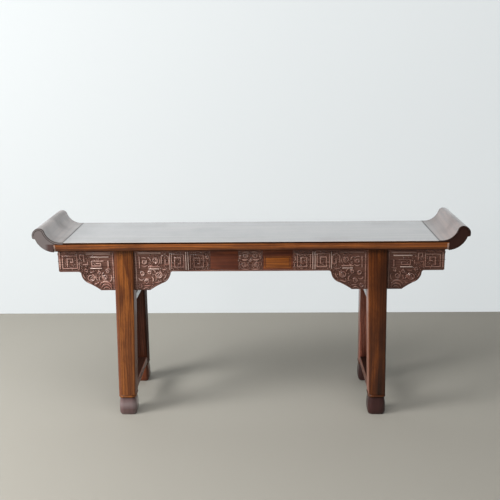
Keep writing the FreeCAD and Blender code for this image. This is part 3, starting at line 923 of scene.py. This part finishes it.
    def _leg_woods(self) -> tuple[WoodFinish, ...]:
        """Gives the woods of the legs, whose sides and edges carry painted light and shade, and of the stretchers.

        Returns:
            The finishes.
        """
        taper = 0.0125 / 0.678
        inner_face = 0.5264 + 0.776 * taper
        # Painted light and shade on the legs' inner sides, leaning with their taper: a pinkish painted reflection
        # on the front-left leg, deep shade on the back-left leg, and a pale reflection on the front-right leg.
        lit_side, shaded_side, reflecting_side = (
            Shade("X", 0.3, inner_face, soft=0.0008, colour=colour, amount=amount, bare=bare, slant=taper)
            for colour, amount, bare in (
                ((0.15, 0.07, 0.05), 0.7, 0.85), ((0.05, 0.016, 0.01), 0.8, 1.0), ((0.28, 0.125, 0.09), 0.65, 0.7),
            )
        )
        # Painted highlight along the outer edge of the front-left leg.
        leg_edge_highlight = Shade("X", 0.608, 0.62, soft=0.012, colour=(0.17, 0.06, 0.04), amount=0.45, bare=0.0)
        # Painted shade along the outer edge of the front-right leg.
        leg_edge_shade = Shade("X", 0.598, 0.62, soft=0.026, colour=(0.03, 0.009, 0.004), amount=0.6, bare=0.3)
        # Painted shade on the lower stretchers' tops and outer sides.
        stretcher_top_shade = Shade("X", 0.5432, 0.6, soft=0.001, colour=(0.014, 0.007, 0.006), amount=0.9)
        return (
            WoodFinish("leg_wood", Grain.ALONG_Z, *self.LEG_TONES, contrast=0.45, fineness=2.3, polish=self.WAXED,
                       shades=(lit_side, leg_edge_highlight)),
            # A copy in deep painted shade, for the back-left leg.
            WoodFinish("leg_wood", Grain.ALONG_Z, (0.032, 0.009, 0.005), (0.06, 0.018, 0.009), (0.016, 0.005, 0.003),
                       contrast=0.6, fineness=2.0, polish=self.FADED, shades=(shaded_side,), variant="_dark"),
            WoodFinish("leg_wood", Grain.ALONG_Z, *self.SHADED_TONES, contrast=0.45, fineness=1.8,
                       polish=self.WAXED, shades=(reflecting_side, leg_edge_shade), variant="_shaded"),
            # A paler, redder copy with painted light, for the back-right leg where the light reaches.
            WoodFinish("leg_wood", Grain.ALONG_Z, (0.26, 0.08, 0.05), (0.42, 0.15, 0.10), (0.10, 0.025, 0.016),
                       contrast=0.7, fineness=3.0, polish=self.WAXED, variant="_reddish"),
            WoodFinish("stretcher_wood", Grain.ALONG_Y, (0.08, 0.026, 0.012), (0.14, 0.05, 0.022),
                       (0.04, 0.012, 0.006), fineness=2.0),
            WoodFinish("stretcher_wood", Grain.ALONG_Y, (0.13, 0.036, 0.016), (0.22, 0.07, 0.03),
                       (0.05, 0.014, 0.008), fineness=2.0, polish=self.STRETCHER, shades=(stretcher_top_shade,),
                       variant="_lower"),
        )

    def _foot_woods(self) -> tuple[WoodFinish, ...]:
        """Gives the woods of the feet, whose beads have the legs' tones between two dark lines.

        Returns:
            The finishes.
        """
        # Painted highlight: a soft pale band round the front-left foot's belly.
        belly = Shade("Z", 0.048, 0.056, soft=0.022, colour=(0.36, 0.31, 0.325), amount=0.28, bare=0.0)
        # Dark lines at the bead's edges: painted shade in the crease below it, a dark joint above.
        lines = tuple(
            Shade("Z", low, high, soft=0.0008, colour=self.DIRT, amount=0.9)
            for low, high in ((0.0825, 0.0858), (0.0962, 0.099))
        )
        lit_bead, shaded_bead = (Crown(0.0856, *tones, self.WAXED) for tones in (self.LEG_TONES, self.SHADED_TONES))
        return (
            WoodFinish("foot_wood", Grain.ALONG_Z, (0.07, 0.028, 0.028), (0.12, 0.055, 0.056), (0.05, 0.018, 0.018),
                       contrast=0.2, shades=(belly, *lines), crown=lit_bead, polish=self.FOOT),
            WoodFinish("foot_wood", Grain.ALONG_Z, (0.032, 0.010, 0.009), (0.06, 0.021, 0.020), (0.02, 0.006, 0.005),
                       contrast=0.2, polish=self.WAXED, shades=lines, crown=shaded_bead, variant="_shaded"),
            WoodFinish("foot_wood", Grain.ALONG_Z, (0.09, 0.022, 0.009), (0.22, 0.055, 0.018), (0.04, 0.01, 0.005),
                       contrast=0.3, polish=self.WAXED, shades=lines, crown=shaded_bead, variant="_reddish"),
        )


@dataclass
class SmoothMember:
    """A member that keeps its solid's form, joined up so that its curves shade smoothly."""

    SLACK_SHARE = 0.1
    FLAT = math.radians(0.3)

    node: str
    material: Material
    slot: str
    arris: float = 0.0
    sharp: float = math.radians(28.0)

    def build(self) -> None:
        """Copies and joins the solid's mesh, eases its long arrises where asked, and stands it in the solid's place.
        """
        shape = bmesh.new()
        shape.from_mesh(frame["nodes"][self.node].data)
        bmesh.ops.remove_doubles(shape, verts=shape.verts, dist=1e-6)
        bmesh.ops.dissolve_limit(
            shape, angle_limit=self.FLAT, verts=shape.verts, edges=shape.edges, use_dissolve_boundaries=False
        )
        if self.arris:
            self._ease(shape)
        piece = make_object(self.node + "_smooth", shape, self.material, self.sharp)
        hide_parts(self.node)
        settle(piece, self.slot)

    def _ease(self, shape: BMesh) -> None:
        """Rounds the long upper arrises that show.

        Args:
            shape: The joined shape.
        """
        top = max(vertex.co.z for vertex in shape.verts)
        reach = max(abs(vertex.co.y) for vertex in shape.verts)
        slack = self.arris * self.SLACK_SHARE
        edges = [
            edge for edge in shape.edges
            if all(abs(abs(vertex.co.y) - reach) < slack and abs(vertex.co.z - top) < slack for vertex in edge.verts)
        ]
        bmesh.ops.bevel(
            shape, geom=edges, offset=self.arris, offset_type="OFFSET", affect="EDGES", segments=3, profile=0.5,
            clamp_overlap=False, material=-1,
        )


@dataclass
class FootShape:
    """A bead over a cushion, drawn as one smooth turning of an eased square."""

    cushion_height: float = 0.084
    bead_height: float = 0.014
    belly_height: float = 0.036
    bulge: float = 0.0025
    neck: float = 0.003
    base_inset: float = 0.003
    bead_proud: float = 0.0026
    corner: float = 0.016
    corner_steps: int = 5
    cushion_rings: int = 16
    bead_rings: int = 8
    base_power: int = 4
    neck_power: int = 2
    sharp: float = math.radians(40.0)

    def growth(self, height: float) -> float:
        """How far the foot stands out from its neck line at a height.

        Args:
            height: Height above the floor.

        Returns:
            The distance, negative where it draws in.
        """
        if height > self.cushion_height:
            rise = (height - self.cushion_height) / self.bead_height
            return self.bead_proud * math.sin(math.pi * rise)
        if height < self.belly_height:
            fall = (self.belly_height - height) / self.belly_height
            return self.bulge - (self.bulge + self.base_inset) * fall ** self.base_power
        rise = (height - self.belly_height) / (self.cushion_height - self.belly_height)
        return self.bulge - (self.bulge + self.neck) * rise ** self.neck_power

    def heights(self) -> list[float]:
        """Heights of the rings, from the floor up, closest near the floor."""
        low = [
            self.cushion_height * (1 - math.cos(math.pi / 2 * ring / self.cushion_rings))
            for ring in range(self.cushion_rings + 1)
        ]
        high = [
            self.cushion_height + self.bead_height * ring / self.bead_rings for ring in range(self.bead_rings + 1)
        ]
        return low + high

    def build(self, node: str, material: Material) -> None:
        """Makes the foot in place of its solid.

        Args:
            node: The solid's name.
            material: The foot's wood.
        """
        low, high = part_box(node)
        middle = (low + high) / 2
        proud = max(self.bulge, self.bead_proud)
        half = Vector(((high.x - low.x) / 2 - proud, (high.y - low.y) / 2 - proud))
        shape = bmesh.new()
        ring = self._ring(shape, half + Vector((self.growth(0.0),) * 2), Vector((middle.x, middle.y, 0.0)))
        bmesh.ops.contextual_create(shape, geom=ring)
        previous = 0.0
        for height in self.heights()[1:]:
            ring = self._lift(shape, ring, middle, half, previous, height)
            previous = height
        bmesh.ops.contextual_create(shape, geom=ring)
        bmesh.ops.recalc_face_normals(shape, faces=shape.faces)
        piece = make_object(node + "_turned", shape, material, self.sharp)
        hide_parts(node)
        settle(piece, "foot_wood")

    def _ring(self, shape: BMesh, half: Vector, centre: Vector) -> list[BMEdge]:
        """Draws the eased square as a ring of edges.

        Args:
            shape: The shape to draw in.
            half: Half its width and half its depth.
            centre: Its middle.

        Returns:
            The ring's edges.
        """
        bmesh.ops.create_grid(shape, x_segments=1, y_segments=1, size=1.0, matrix=Matrix.Translation(centre))
        bmesh.ops.scale(shape, verts=shape.verts, vec=(half.x, half.y, 1.0), space=Matrix.Translation(-centre))
        bmesh.ops.bevel(
            shape, geom=shape.verts[:], offset=self.corner, offset_type="OFFSET", affect="VERTICES",
            segments=self.corner_steps, profile=0.5, material=-1,
        )
        bmesh.ops.delete(shape, geom=shape.faces[:], context="FACES_ONLY")
        return shape.edges[:]

    def _lift(
        self,
        shape: BMesh,
        ring: list[BMEdge],
        middle: Vector,
        half: Vector,
        previous: float,
        height: float,
    ) -> list[BMEdge]:
        """Extrudes the ring up to the next height and sizes it there.

        Args:
            shape: The shape.
            ring: The ring to extrude.
            middle: The foot's middle.
            half: Half its width and depth at the neck line.
            previous: The ring's height.
            height: The next height.

        Returns:
            The new ring's edges.
        """
        grown = bmesh.ops.extrude_edge_only(shape, edges=ring)["geom"]
        verts = only(BMVert, grown)
        bmesh.ops.translate(shape, verts=verts, vec=(0.0, 0.0, height - previous))
        before, after = self.growth(previous), self.growth(height)
        factor = ((half.x + after) / (half.x + before), (half.y + after) / (half.y + before), 1.0)
        centre = Matrix.Translation((-middle.x, -middle.y, 0.0))
        bmesh.ops.scale(shape, verts=verts, vec=factor, space=centre)
        return only(BMEdge, grown)


Placing = Callable[[Point], Point]


@dataclass(frozen=True)
class Bar:
    """A stroke in straight runs, such as a line of a fret; its sizes are millimetres."""

    points: tuple[Point, ...]
    width: float = 5.0
    rise: float = 4.5
    softness: float = 0.3
    closed: bool = False

    def cut(self, carver: Carver, place: Placing) -> None:
        """Raises the stroke where the placing puts its points."""
        path = [place(point) for point in self.points]
        carver.stroke(path, self.width * MM, self.rise * MM, self.softness, self.closed)


@dataclass(frozen=True)
class Leaf:
    """A curved stroke that swells between two pointed ends; its sizes are millimetres."""

    TIP_SHARE = 0.25
    SOFTNESS = 0.45

    start: Point
    middle: Point
    end: Point
    width: float = 7.0
    rise: float = 4.5

    def cut(self, carver: Carver, place: Placing) -> None:
        """Raises the leaf where the placing puts its points."""
        path = [place(point) for point in arc_through(self.start, self.middle, self.end)]
        width = self.width * MM
        carver.stroke(path, swelling(self.TIP_SHARE * width, width), self.rise * MM, self.SOFTNESS)


@dataclass(frozen=True)
class Curl:
    """A spiral stroke around a boss; its sizes are millimetres."""

    CORE_SHARE = 0.4
    TAIL_SHARE = 0.7
    BOSS_SHARE = 0.2
    SOFTNESS = 0.4

    centre: Point
    radius: float
    start: float = 0.25
    turns: float = 1.4
    width: float = 5.0
    rise: float = 4.5

    def cut(self, carver: Carver, place: Placing) -> None:
        """Raises the curl where the placing puts its points."""
        points = spiral(self.centre, self.CORE_SHARE * self.radius, self.radius, self.start, self.turns)
        path, width = [place(point) for point in points], self.width * MM
        carver.stroke(path, fading(self.TAIL_SHARE * width, width), self.rise * MM, self.SOFTNESS)
        carver.pearl(place(self.centre), self.BOSS_SHARE * self.radius * MM, self.rise * MM)


Motif = Bar | Leaf | Curl


@dataclass(frozen=True)
class Panel:
    """A plain raised panel between two places along the board and two below the rail, in millimetres."""

    start: float
    end: float
    top: float
    bottom: float
    rise: float


@dataclass
class WingCarving:
    """Carving of the boards beside a leg, drawn in millimetres outwards and down from the leg's top."""

    low_rise: float = 0.0022
    ground: float = -0.16
    rail_bottom: float = 0.776
    outer_edge: float = 0.614
    inner_edge: float = 0.526
    apron_depth: float = 0.104
    border_width: float = 0.006
    border_softness: float = 0.35
    hidden_depth: float = 0.012

    outer: tuple[Motif, ...] = (
        Bar(((170, 29), (237, 29), (237, 87), (170, 87)), closed=True),
        Bar(((215, 80), (215, 42), (190, 42), (190, 58), (202, 58)), 5.5),
        Bar(((249, 12), (249, 92)), 8.0, 3.5),
        Bar(((162, 92), (162, 62), (149, 62)), 4.5),
        Bar(((139, 58), (139, 24), (157, 24), (157, 42), (149, 42)), 5.5),
        Bar(((130, 18), (18, 18)), 11.0, 3.2, 0.2),
        Bar(((112, 34), (26, 34)), 6.0, 5.0),
        Bar(((30, 52), (30, 86)), 6.5),
        Bar(((122, 56), (122, 70), (146, 70)), 4.5),
        Bar(((50, 54), (104, 54), (104, 76), (64, 76), (64, 65), (86, 65)), 4.5),
        Bar(((114, 87), (58, 87)), 5.5, 5.0),
        Bar(((8, 16), (8, 186)), 5.0, 3.5),
        Curl((111, 132), 18.0, 0.1, 1.6, 5.5),
        Curl((132, 98), 9.0, 0.5, -1.2, 4.0),
        Curl((48, 128), 13.0, 0.4, -1.5, 4.5),
        Curl((33, 102), 7.5, 0.0, 1.2, 3.5),
        Curl((74, 108), 8.5, 0.6, 1.2, 4.0),
        Leaf((18, 176), (44, 150), (74, 170), 8.0),
        Leaf((20, 188), (45, 163), (66, 182), 7.0),
        Leaf((28, 186), (44, 176), (56, 186), 5.0),
        Leaf((78, 152), (88, 160), (98, 162), 6.5),
        Leaf((104, 156), (118, 156), (132, 146), 5.0),
        Leaf((136, 136), (144, 124), (146, 112), 5.0),
        Leaf((86, 118), (88, 134), (80, 144), 5.0),
        Leaf((66, 124), (74, 134), (70, 146), 5.5),
        Leaf((20, 118), (17, 136), (26, 150), 5.5),
        Leaf((52, 106), (60, 114), (58, 124), 4.5),
        Leaf((92, 104), (104, 104), (114, 108), 4.5),
        Leaf((18, 92), (30, 90), (44, 94), 4.0),
    )
    inner: tuple[Motif, ...] = (
        Bar(((8, 16), (8, 186)), 5.0, 3.5),
        Bar(((122, 17), (18, 17)), 9.0, 3.2, 0.2),
        Bar(((24, 34), (24, 88)), 4.5),
        Curl((95, 52), 14.0, 0.75, 1.5, 5.0),
        Curl((46, 58), 11.0, 0.3, -1.4, 4.5),
        Leaf((62, 38), (72, 44), (74, 56), 5.5),
        Leaf((34, 40), (46, 38), (56, 44), 4.5),
        Leaf((66, 66), (72, 74), (84, 74), 5.0),
        Leaf((108, 70), (116, 60), (114, 44), 5.0),
        Leaf((34, 76), (48, 80), (60, 74), 5.0),
        Bar(((116, 81), (62, 81)), 4.5),
        Bar(((114, 91), (64, 91)), 4.5, 5.0),
        Bar(((124, 66), (124, 34), (140, 21), (157, 36), (157, 70), (141, 70), (141, 46)), 5.0),
        Bar(((162, 14), (162, 96)), 4.0, 5.0, 0.4),
        Bar(((170, 92), (170, 24), (226, 24), (226, 84), (184, 84), (184, 40), (211, 40), (211, 68), (198, 68)), 5.0),
        Bar(((235, 12), (235, 98)), 5.5, 5.0, 0.4),
        Curl((109, 120), 17.0, 0.4, -1.6, 5.5),
        Curl((34, 112), 11.0, 0.9, 1.4, 4.5),
        Curl((69, 108), 10.0, 0.6, 1.3, 4.5),
        Curl((23, 172), 10.0, 0.1, -1.3, 4.0),
        Curl((54, 150), 12.0, 0.5, 1.4, 4.5),
        Leaf((18, 132), (28, 144), (40, 138), 6.0),
        Leaf((76, 126), (84, 138), (80, 152), 6.0),
        Leaf((88, 158), (104, 154), (122, 148), 5.5),
        Leaf((130, 138), (140, 128), (144, 112), 5.0),
        Leaf((124, 92), (136, 94), (150, 88), 5.0),
        Leaf((42, 172), (56, 170), (70, 172), 6.0),
        Leaf((38, 186), (50, 180), (64, 184), 5.0),
        Leaf((84, 96), (92, 100), (94, 110), 4.5),
    )

    def placing(self, edge: float, outwards: int) -> Placing:
        """Gives the way from millimetres beside the leg's edge, outwards or inwards, to X and Z."""
        return lambda point: (edge + outwards * point[0] * MM, self.rail_bottom - point[1] * MM)

    def outline(self, node: str) -> list[Point]:
        """Reads the lower outline of a board from its solid's front face.

        Args:
            node: The board's solid.

        Returns:
            Points of X and Z, in order of X.
        """
        lowest: dict[float, float] = {}
        for vertex in frame["nodes"][node].data.vertices:
            if abs(vertex.co.y - self.ground) < NEAR:
                key = round(vertex.co.x, PLACES)
                lowest[key] = min(vertex.co.z, lowest.get(key, math.inf))
        return [(x, z) for x, z in sorted(lowest.items()) if z < self.rail_bottom - self.apron_depth / 2]

    def carve(self, edge: float, outwards: int, node: str) -> Carver:
        """Carves one board beside a leg.

        Args:
            edge: X of the leg's side where the board leaves it.
            outwards: 1 away from the table's middle, -1 towards it.
            node: The board's solid.

        Returns:
            The carver that holds the carving.
        """
        carver = Carver(self.ground)
        for motif in self.outer if outwards > 0 else self.inner:
            motif.cut(carver, self.placing(edge, outwards))
        shown = [point for point in self.outline(node) if (point[0] - edge) * outwards > 0]
        inset = self.border_width / 2
        path = [(x + side.x * inset, z + side.y * inset) for (x, z), side in zip(shown, mitres(shown, closed=False))]
        carver.stroke(path, self.border_width, self.low_rise, self.border_softness)
        carver.stipple(shown, self.rail_bottom - self.hidden_depth, seed=round(1000 * edge))
        return carver


@dataclass
class MiddleCarving:
    """Carving of the middle apron: end beads, frets, plain fields and the centre ornament, in millimetres."""

    border_rise: float = 0.003
    ground: float = -0.16
    rail_bottom: float = 0.776
    apron_bottom: float = 0.672
    half_length: float = 0.288
    border_width: float = 0.006
    panel_softness: float = 0.08
    hidden_depth: float = 0.012
    stippled: tuple[Point, ...] = ((-0.276, -0.184), (-0.054, 0.054), (0.194, 0.276))
    fields: tuple[Panel, ...] = (Panel(-180, -56, 6, 97, 1.6), Panel(56, 190, 6, 97, 1.6))
    framed: tuple[Panel, ...] = (Panel(69, 175, 41, 84, 3.4),)
    frames: tuple[Motif, ...] = (Bar(((64, 36), (180, 36), (180, 89), (64, 89)), 4.0, 3.4, closed=True),)

    halves: tuple[Motif, ...] = (
        Bar(((281, 12), (281, 98)), 5.0, 5.0, 0.4),
        Bar(((270, 90), (270, 26), (212, 26), (212, 84), (254, 84), (254, 42), (228, 42), (228, 68), (240, 68)), 4.5),
        Curl((22, 32), 12.0, 0.25, 1.4, 4.5),
        Curl((30, 74), 12.0, 0.75, -1.4, 4.5),
        Leaf((2, 18), (18, 14), (38, 22), 5.0),
        Leaf((3, 92), (22, 96), (44, 88), 5.0),
        Leaf((8, 46), (22, 52), (42, 46), 5.5),
        Leaf((40, 28), (47, 38), (44, 50), 4.5),
        Leaf((47, 60), (50, 70), (46, 80), 4.5),
        Leaf((6, 62), (12, 72), (8, 84), 4.5),
    )
    heart: Motif = Curl((0, 56), 6.0, 0.0, 1.0, 3.5)
    right: tuple[Motif, ...] = (
        Leaf((197, 30), (203, 44), (198, 58), 4.5),
        Leaf((204, 62), (198, 74), (202, 88), 4.5),
    )
    left: tuple[Motif, ...] = (
        Curl((-194, 37), 9.0, 0.3, 1.3, 4.5),
        Leaf((-200, 52), (-194, 68), (-200, 84), 5.0),
    )

    def place(self, point: Point) -> Point:
        """X and Z of a point in millimetres from the middle and down from the rail."""
        return point[0] * MM, self.rail_bottom - point[1] * MM

    def panels(self, panels: Sequence[Panel], frames: Sequence[Motif] = ()) -> Carver:
        """Raises plain panels and the frames around them.

        Args:
            panels: The panels.
            frames: The frames.

        Returns:
            The carver that holds them.
        """
        carver = Carver(self.ground)
        for frame_bar in frames:
            frame_bar.cut(carver, self.place)
        for panel in panels:
            middle, height = (panel.top + panel.bottom) / 2, (panel.bottom - panel.top) * MM
            ends = [self.place((panel.start, middle)), self.place((panel.end, middle))]
            carver.stroke(ends, height, panel.rise * MM, self.panel_softness)
        return carver

    def carve(self) -> Carver:
        """Carves both halves and the border below them.

        Returns:
            The carver that holds the carving.
        """
        carver = Carver(self.ground)
        for sign in (1, -1):
            for motif in self.halves:
                motif.cut(carver, lambda point, sign=sign: self.place((sign * point[0], point[1])))
        for motif in (*self.right, *self.left, self.heart):
            motif.cut(carver, self.place)
        bottom = self.apron_bottom + self.border_width / 2
        ends = [(-self.half_length, bottom), (self.half_length, bottom)]
        carver.stroke(ends, self.border_width, self.border_rise)
        top = self.rail_bottom - self.hidden_depth
        for start, end in self.stippled:
            carver.stipple([(start, self.apron_bottom), (end, self.apron_bottom)], top, seed=round(1000 * end))
        return carver


@dataclass
class Table:
    """The whole table: dressed solids, smooth members, feet and carving."""

    finishes: Finishes
    wing: WingCarving = field(default_factory=WingCarving)
    middle: MiddleCarving = field(default_factory=MiddleCarving)
    foot: FootShape = field(default_factory=FootShape)
    rail_arris: float = 0.0015

    # Copies of the leg and foot woods paint the light at each corner: shaded copies for the front-right leg and foot,
    # the back-left leg and the back-right foot, a paler back-right leg where light reaches, and a reddish back-left
    # foot.
    LEG_VARIANTS = {"front_left": "", "front_right": "_shaded", "back_left": "_dark", "back_right": "_reddish"}
    FOOT_VARIANTS = {"front_left": "", "front_right": "_shaded", "back_left": "_reddish", "back_right": "_shaded"}

    def build(self) -> None:
        """Builds every piece."""
        self._dress_solids()
        self._smooth_members()
        self._carve_boards()
        for corner, variant in self.FOOT_VARIANTS.items():
            self.foot.build(f"{corner}_foot", self.finishes.materials["foot_wood" + variant])

    def _dress_solids(self) -> None:
        """Gives every solid its slot's wood."""
        slots = {part["node"]: part["material_slot"] for part in frame["record"]["subparts"]}
        for name, node in frame["nodes"].items():
            variant = "_end" if name.endswith("end_apron") else ""
            node.data.materials.clear()
            node.data.materials.append(self.finishes.materials[slots[name] + variant])

    def _smooth_members(self) -> None:
        """Stands smooth copies in place of the members with curves."""
        self._smooth("left_everted_end", "end_wood")
        self._smooth("right_everted_end", "end_wood", variant="_shaded")
        for hand in Hand:
            self._smooth(f"{hand.word}_upper_stretcher", "stretcher_wood")
            self._smooth(f"{hand.word}_lower_stretcher", "stretcher_wood", variant="_lower")
        for side in Side:
            self._smooth(f"{side.word}_top_rail", "rail_wood", self.rail_arris)
        for corner, variant in self.LEG_VARIANTS.items():
            self._smooth(f"{corner}_leg", "leg_wood", variant=variant)

    def _smooth(self, node: str, slot: str, arris: float = 0.0, variant: str = "") -> None:
        """Stands a smooth copy in place of one solid, with its long upper arrises rounded where asked."""
        SmoothMember(node, self.finishes.materials[slot + variant], slot, arris).build()

    def _carve_boards(self) -> None:
        """Carves the front's right boards and the middle apron, and repeats them in the other quarters."""
        wood, lit = (self.finishes.materials["spandrel_wood_carving" + word] for word in ("", "_lit"))
        boards = (("outer", self.wing.outer_edge, 1), ("inner", self.wing.inner_edge, -1))
        for board, edge, outwards in boards:
            carver = self.wing.carve(edge, outwards, f"front_right_{board}_spandrel")
            for side in Side:
                for hand in Hand:
                    name = f"{side.word}_{hand.word}_{board}_carving"
                    dress = lit if hand is Hand.LEFT else wood
                    settle(carver.finish(name, (hand.value, -side.value), dress), "spandrel_wood")
        middle = (
            ("carving", self.middle.carve(), wood),
            ("fields", self.middle.panels(self.middle.fields), self.finishes.materials["apron_wood_field"]),
            ("framed", self.middle.panels(self.middle.framed, self.middle.frames),
             self.finishes.materials["apron_wood_framed"]),
        )
        for side in Side:
            for word, carver, dress in middle:
                settle(carver.finish(f"{side.word}_middle_{word}", (1, -side.value), dress), "apron_wood")


@dataclass(frozen=True)
class Lamp:
    """A large soft lamp that looks at the table."""

    name: str
    azimuth: float
    elevation: float
    distance: float
    size: float
    watts: float
    colour: Colour = (1.0, 0.99, 0.97)
    aim: tuple[float, float, float] = (0.0, 0.0, 0.5)

    def hang(self) -> None:
        """Hangs the lamp; azimuth counts from the front to the left, in degrees."""
        data = bpy.data.lights.new(self.name, "AREA")
        data.shape = "DISK"
        data.size = self.size
        data.energy = self.watts
        data.color = self.colour
        lamp = stand(self.name, data)
        around, up = math.radians(self.azimuth), math.radians(self.elevation)
        towards = Vector((-math.sin(around) * math.cos(up), -math.cos(around) * math.cos(up), math.sin(up)))
        lamp.location = towards * self.distance + Vector(self.aim)
        lamp.rotation_euler = (-towards).to_track_quat("-Z", "Y").to_euler()


@dataclass
class Studio:
    """A plain pale floor and wall, a large soft lamp, an even sky and the camera."""

    focal_pixels: float = 788.0
    frame_pixels: float = 500.0
    sensor: float = 36.0
    camera_place: tuple[float, float, float] = (0.0823, -3.5888, 1.6409)
    yaw: float = math.radians(-1.399)
    pitch: float = math.radians(14.252)
    roll: float = math.radians(-0.677)
    wall_y: float = 1.23
    floor_half: float = 9.0
    sky_strength: float = 0.10
    sky_colour: Colour = (0.97, 0.985, 1.0)
    paint_roughness: float = 0.75
    window: Lamp = field(default_factory=lambda: Lamp("window_lamp", 66.0, 28.0, 4.2, 1.8, 200.0))
    front: Lamp = field(default_factory=lambda: Lamp("front_lamp", 30.0, 15.0, 4.6, 1.0, 34.0))
    ceiling: Lamp = field(default_factory=lambda: Lamp("ceiling_lamp", 0.0, 64.0, 4.4, 5.0, 170.0))
    floor_colour: Colour = (0.27, 0.258, 0.228)
    wall_colour: Colour = (0.70, 0.732, 0.742)
    wall_glow: Colour = (0.76, 0.80, 0.815)
    glow_share: float = 0.68

    def build(self) -> None:
        """Builds floor, wall, lights and camera."""
        self._plane("floor", self._plain("floor_paint", self.floor_colour), upright=False)
        self._plane("wall", self._evened(self._plain("wall_paint", self.wall_colour)), upright=True)
        self._sky()
        self.window.hang()
        self.front.hang()
        self.ceiling.hang()
        self._camera()
        log.info("studio ready")

    def _plain(self, name: str, colour: Colour) -> Material:
        """A plain matt paint.

        Args:
            name: The material's name.
            colour: Its colour.

        Returns:
            The material.
        """
        material = bpy.data.materials.new(name)
        material.use_nodes = True
        shader = material.node_tree.nodes["Principled BSDF"]
        shader.inputs["Base Color"].default_value = (*colour, 1.0)
        shader.inputs["Roughness"].default_value = self.paint_roughness
        return material

    def _evened(self, material: Material) -> Material:
        """Evens out a paint for the camera and for reflections, without lighting the room.

        From behind, the paint is clear, so that the table's back can be looked at.

        Args:
            material: The paint.

        Returns:
            The same material.
        """
        graph = Graph(material.node_tree)
        paint = material.node_tree.nodes["Principled BSDF"]
        rays = graph.add("LightPath").outputs
        seen = graph.maths("MAXIMUM", rays["Is Camera Ray"], rays["Is Glossy Ray"])
        glow = graph.add("Emission", Color=(*self.wall_glow, 1.0), Strength=1.0)
        mixed = graph.add("MixShader", Fac=graph.maths("MULTIPLY", seen, self.glow_share))
        graph.join(paint.outputs["BSDF"], mixed.inputs[1])
        graph.join(glow.outputs["Emission"], mixed.inputs[2])
        behind = graph.maths("MULTIPLY", graph.add("NewGeometry").outputs["Backfacing"], rays["Is Camera Ray"])
        clear = graph.add("BsdfTransparent")
        shown = graph.add("MixShader", Fac=behind)
        graph.join(mixed.outputs["Shader"], shown.inputs[1])
        graph.join(clear.outputs["BSDF"], shown.inputs[2])
        graph.join(shown.outputs["Shader"], material.node_tree.nodes["Material Output"].inputs["Surface"])
        return material

    def _plane(self, name: str, material: Material, upright: bool) -> None:
        """Adds one large plane to the stage.

        Args:
            name: The plane's name.
            material: Its paint.
            upright: Whether it is the wall, and not the floor.
        """
        shape = bmesh.new()
        bmesh.ops.create_grid(shape, x_segments=1, y_segments=1, size=self.floor_half)
        if upright:
            bmesh.ops.rotate(shape, verts=shape.verts, matrix=Matrix.Rotation(math.pi / 2, 3, "X"))
            bmesh.ops.translate(shape, verts=shape.verts, vec=(0.0, self.wall_y, self.floor_half))
        else:
            bmesh.ops.translate(shape, verts=shape.verts, vec=(0.0, self.wall_y - self.floor_half, 0.0))
        mesh = meshed(name, shape)
        mesh.materials.append(material)
        stand(name, mesh)

    def _sky(self) -> None:
        """Fills the room with even light."""
        world = bpy.data.worlds.new("even_light")
        world.use_nodes = True
        background = world.node_tree.nodes["Background"]
        background.inputs["Color"].default_value = (*self.sky_colour, 1.0)
        background.inputs["Strength"].default_value = self.sky_strength
        bpy.context.scene.world = world

    def _camera(self) -> None:
        """Sets the camera at the photograph's viewing angle."""
        data = bpy.data.cameras.new("camera")
        data.sensor_width = self.sensor
        data.lens = self.focal_pixels / self.frame_pixels * self.sensor
        camera = stand("camera", data)
        ahead = Vector((
            math.sin(self.yaw) * math.cos(self.pitch),
            math.cos(self.yaw) * math.cos(self.pitch),
            -math.sin(self.pitch),
        ))
        level_right = Vector((math.cos(self.yaw), -math.sin(self.yaw), 0.0))
        level_up = level_right.cross(ahead)
        right = math.cos(self.roll) * level_right + math.sin(self.roll) * level_up
        up = math.cos(self.roll) * level_up - math.sin(self.roll) * level_right
        turned = Matrix((right, up, -ahead)).transposed().to_4x4()
        camera.matrix_world = Matrix.Translation(self.camera_place) @ turned
        bpy.context.scene.camera = camera


def main() -> None:
    """Builds the finishes, the table and the studio."""
    logging.basicConfig(level=logging.INFO, format="%(name)s %(message)s")
    bpy.context.scene.view_settings.view_transform = "Standard"
    finishes = Finishes()
    finishes.build()
    Table(finishes).build()
    Studio().build()


if __name__ == "__main__":
    main()
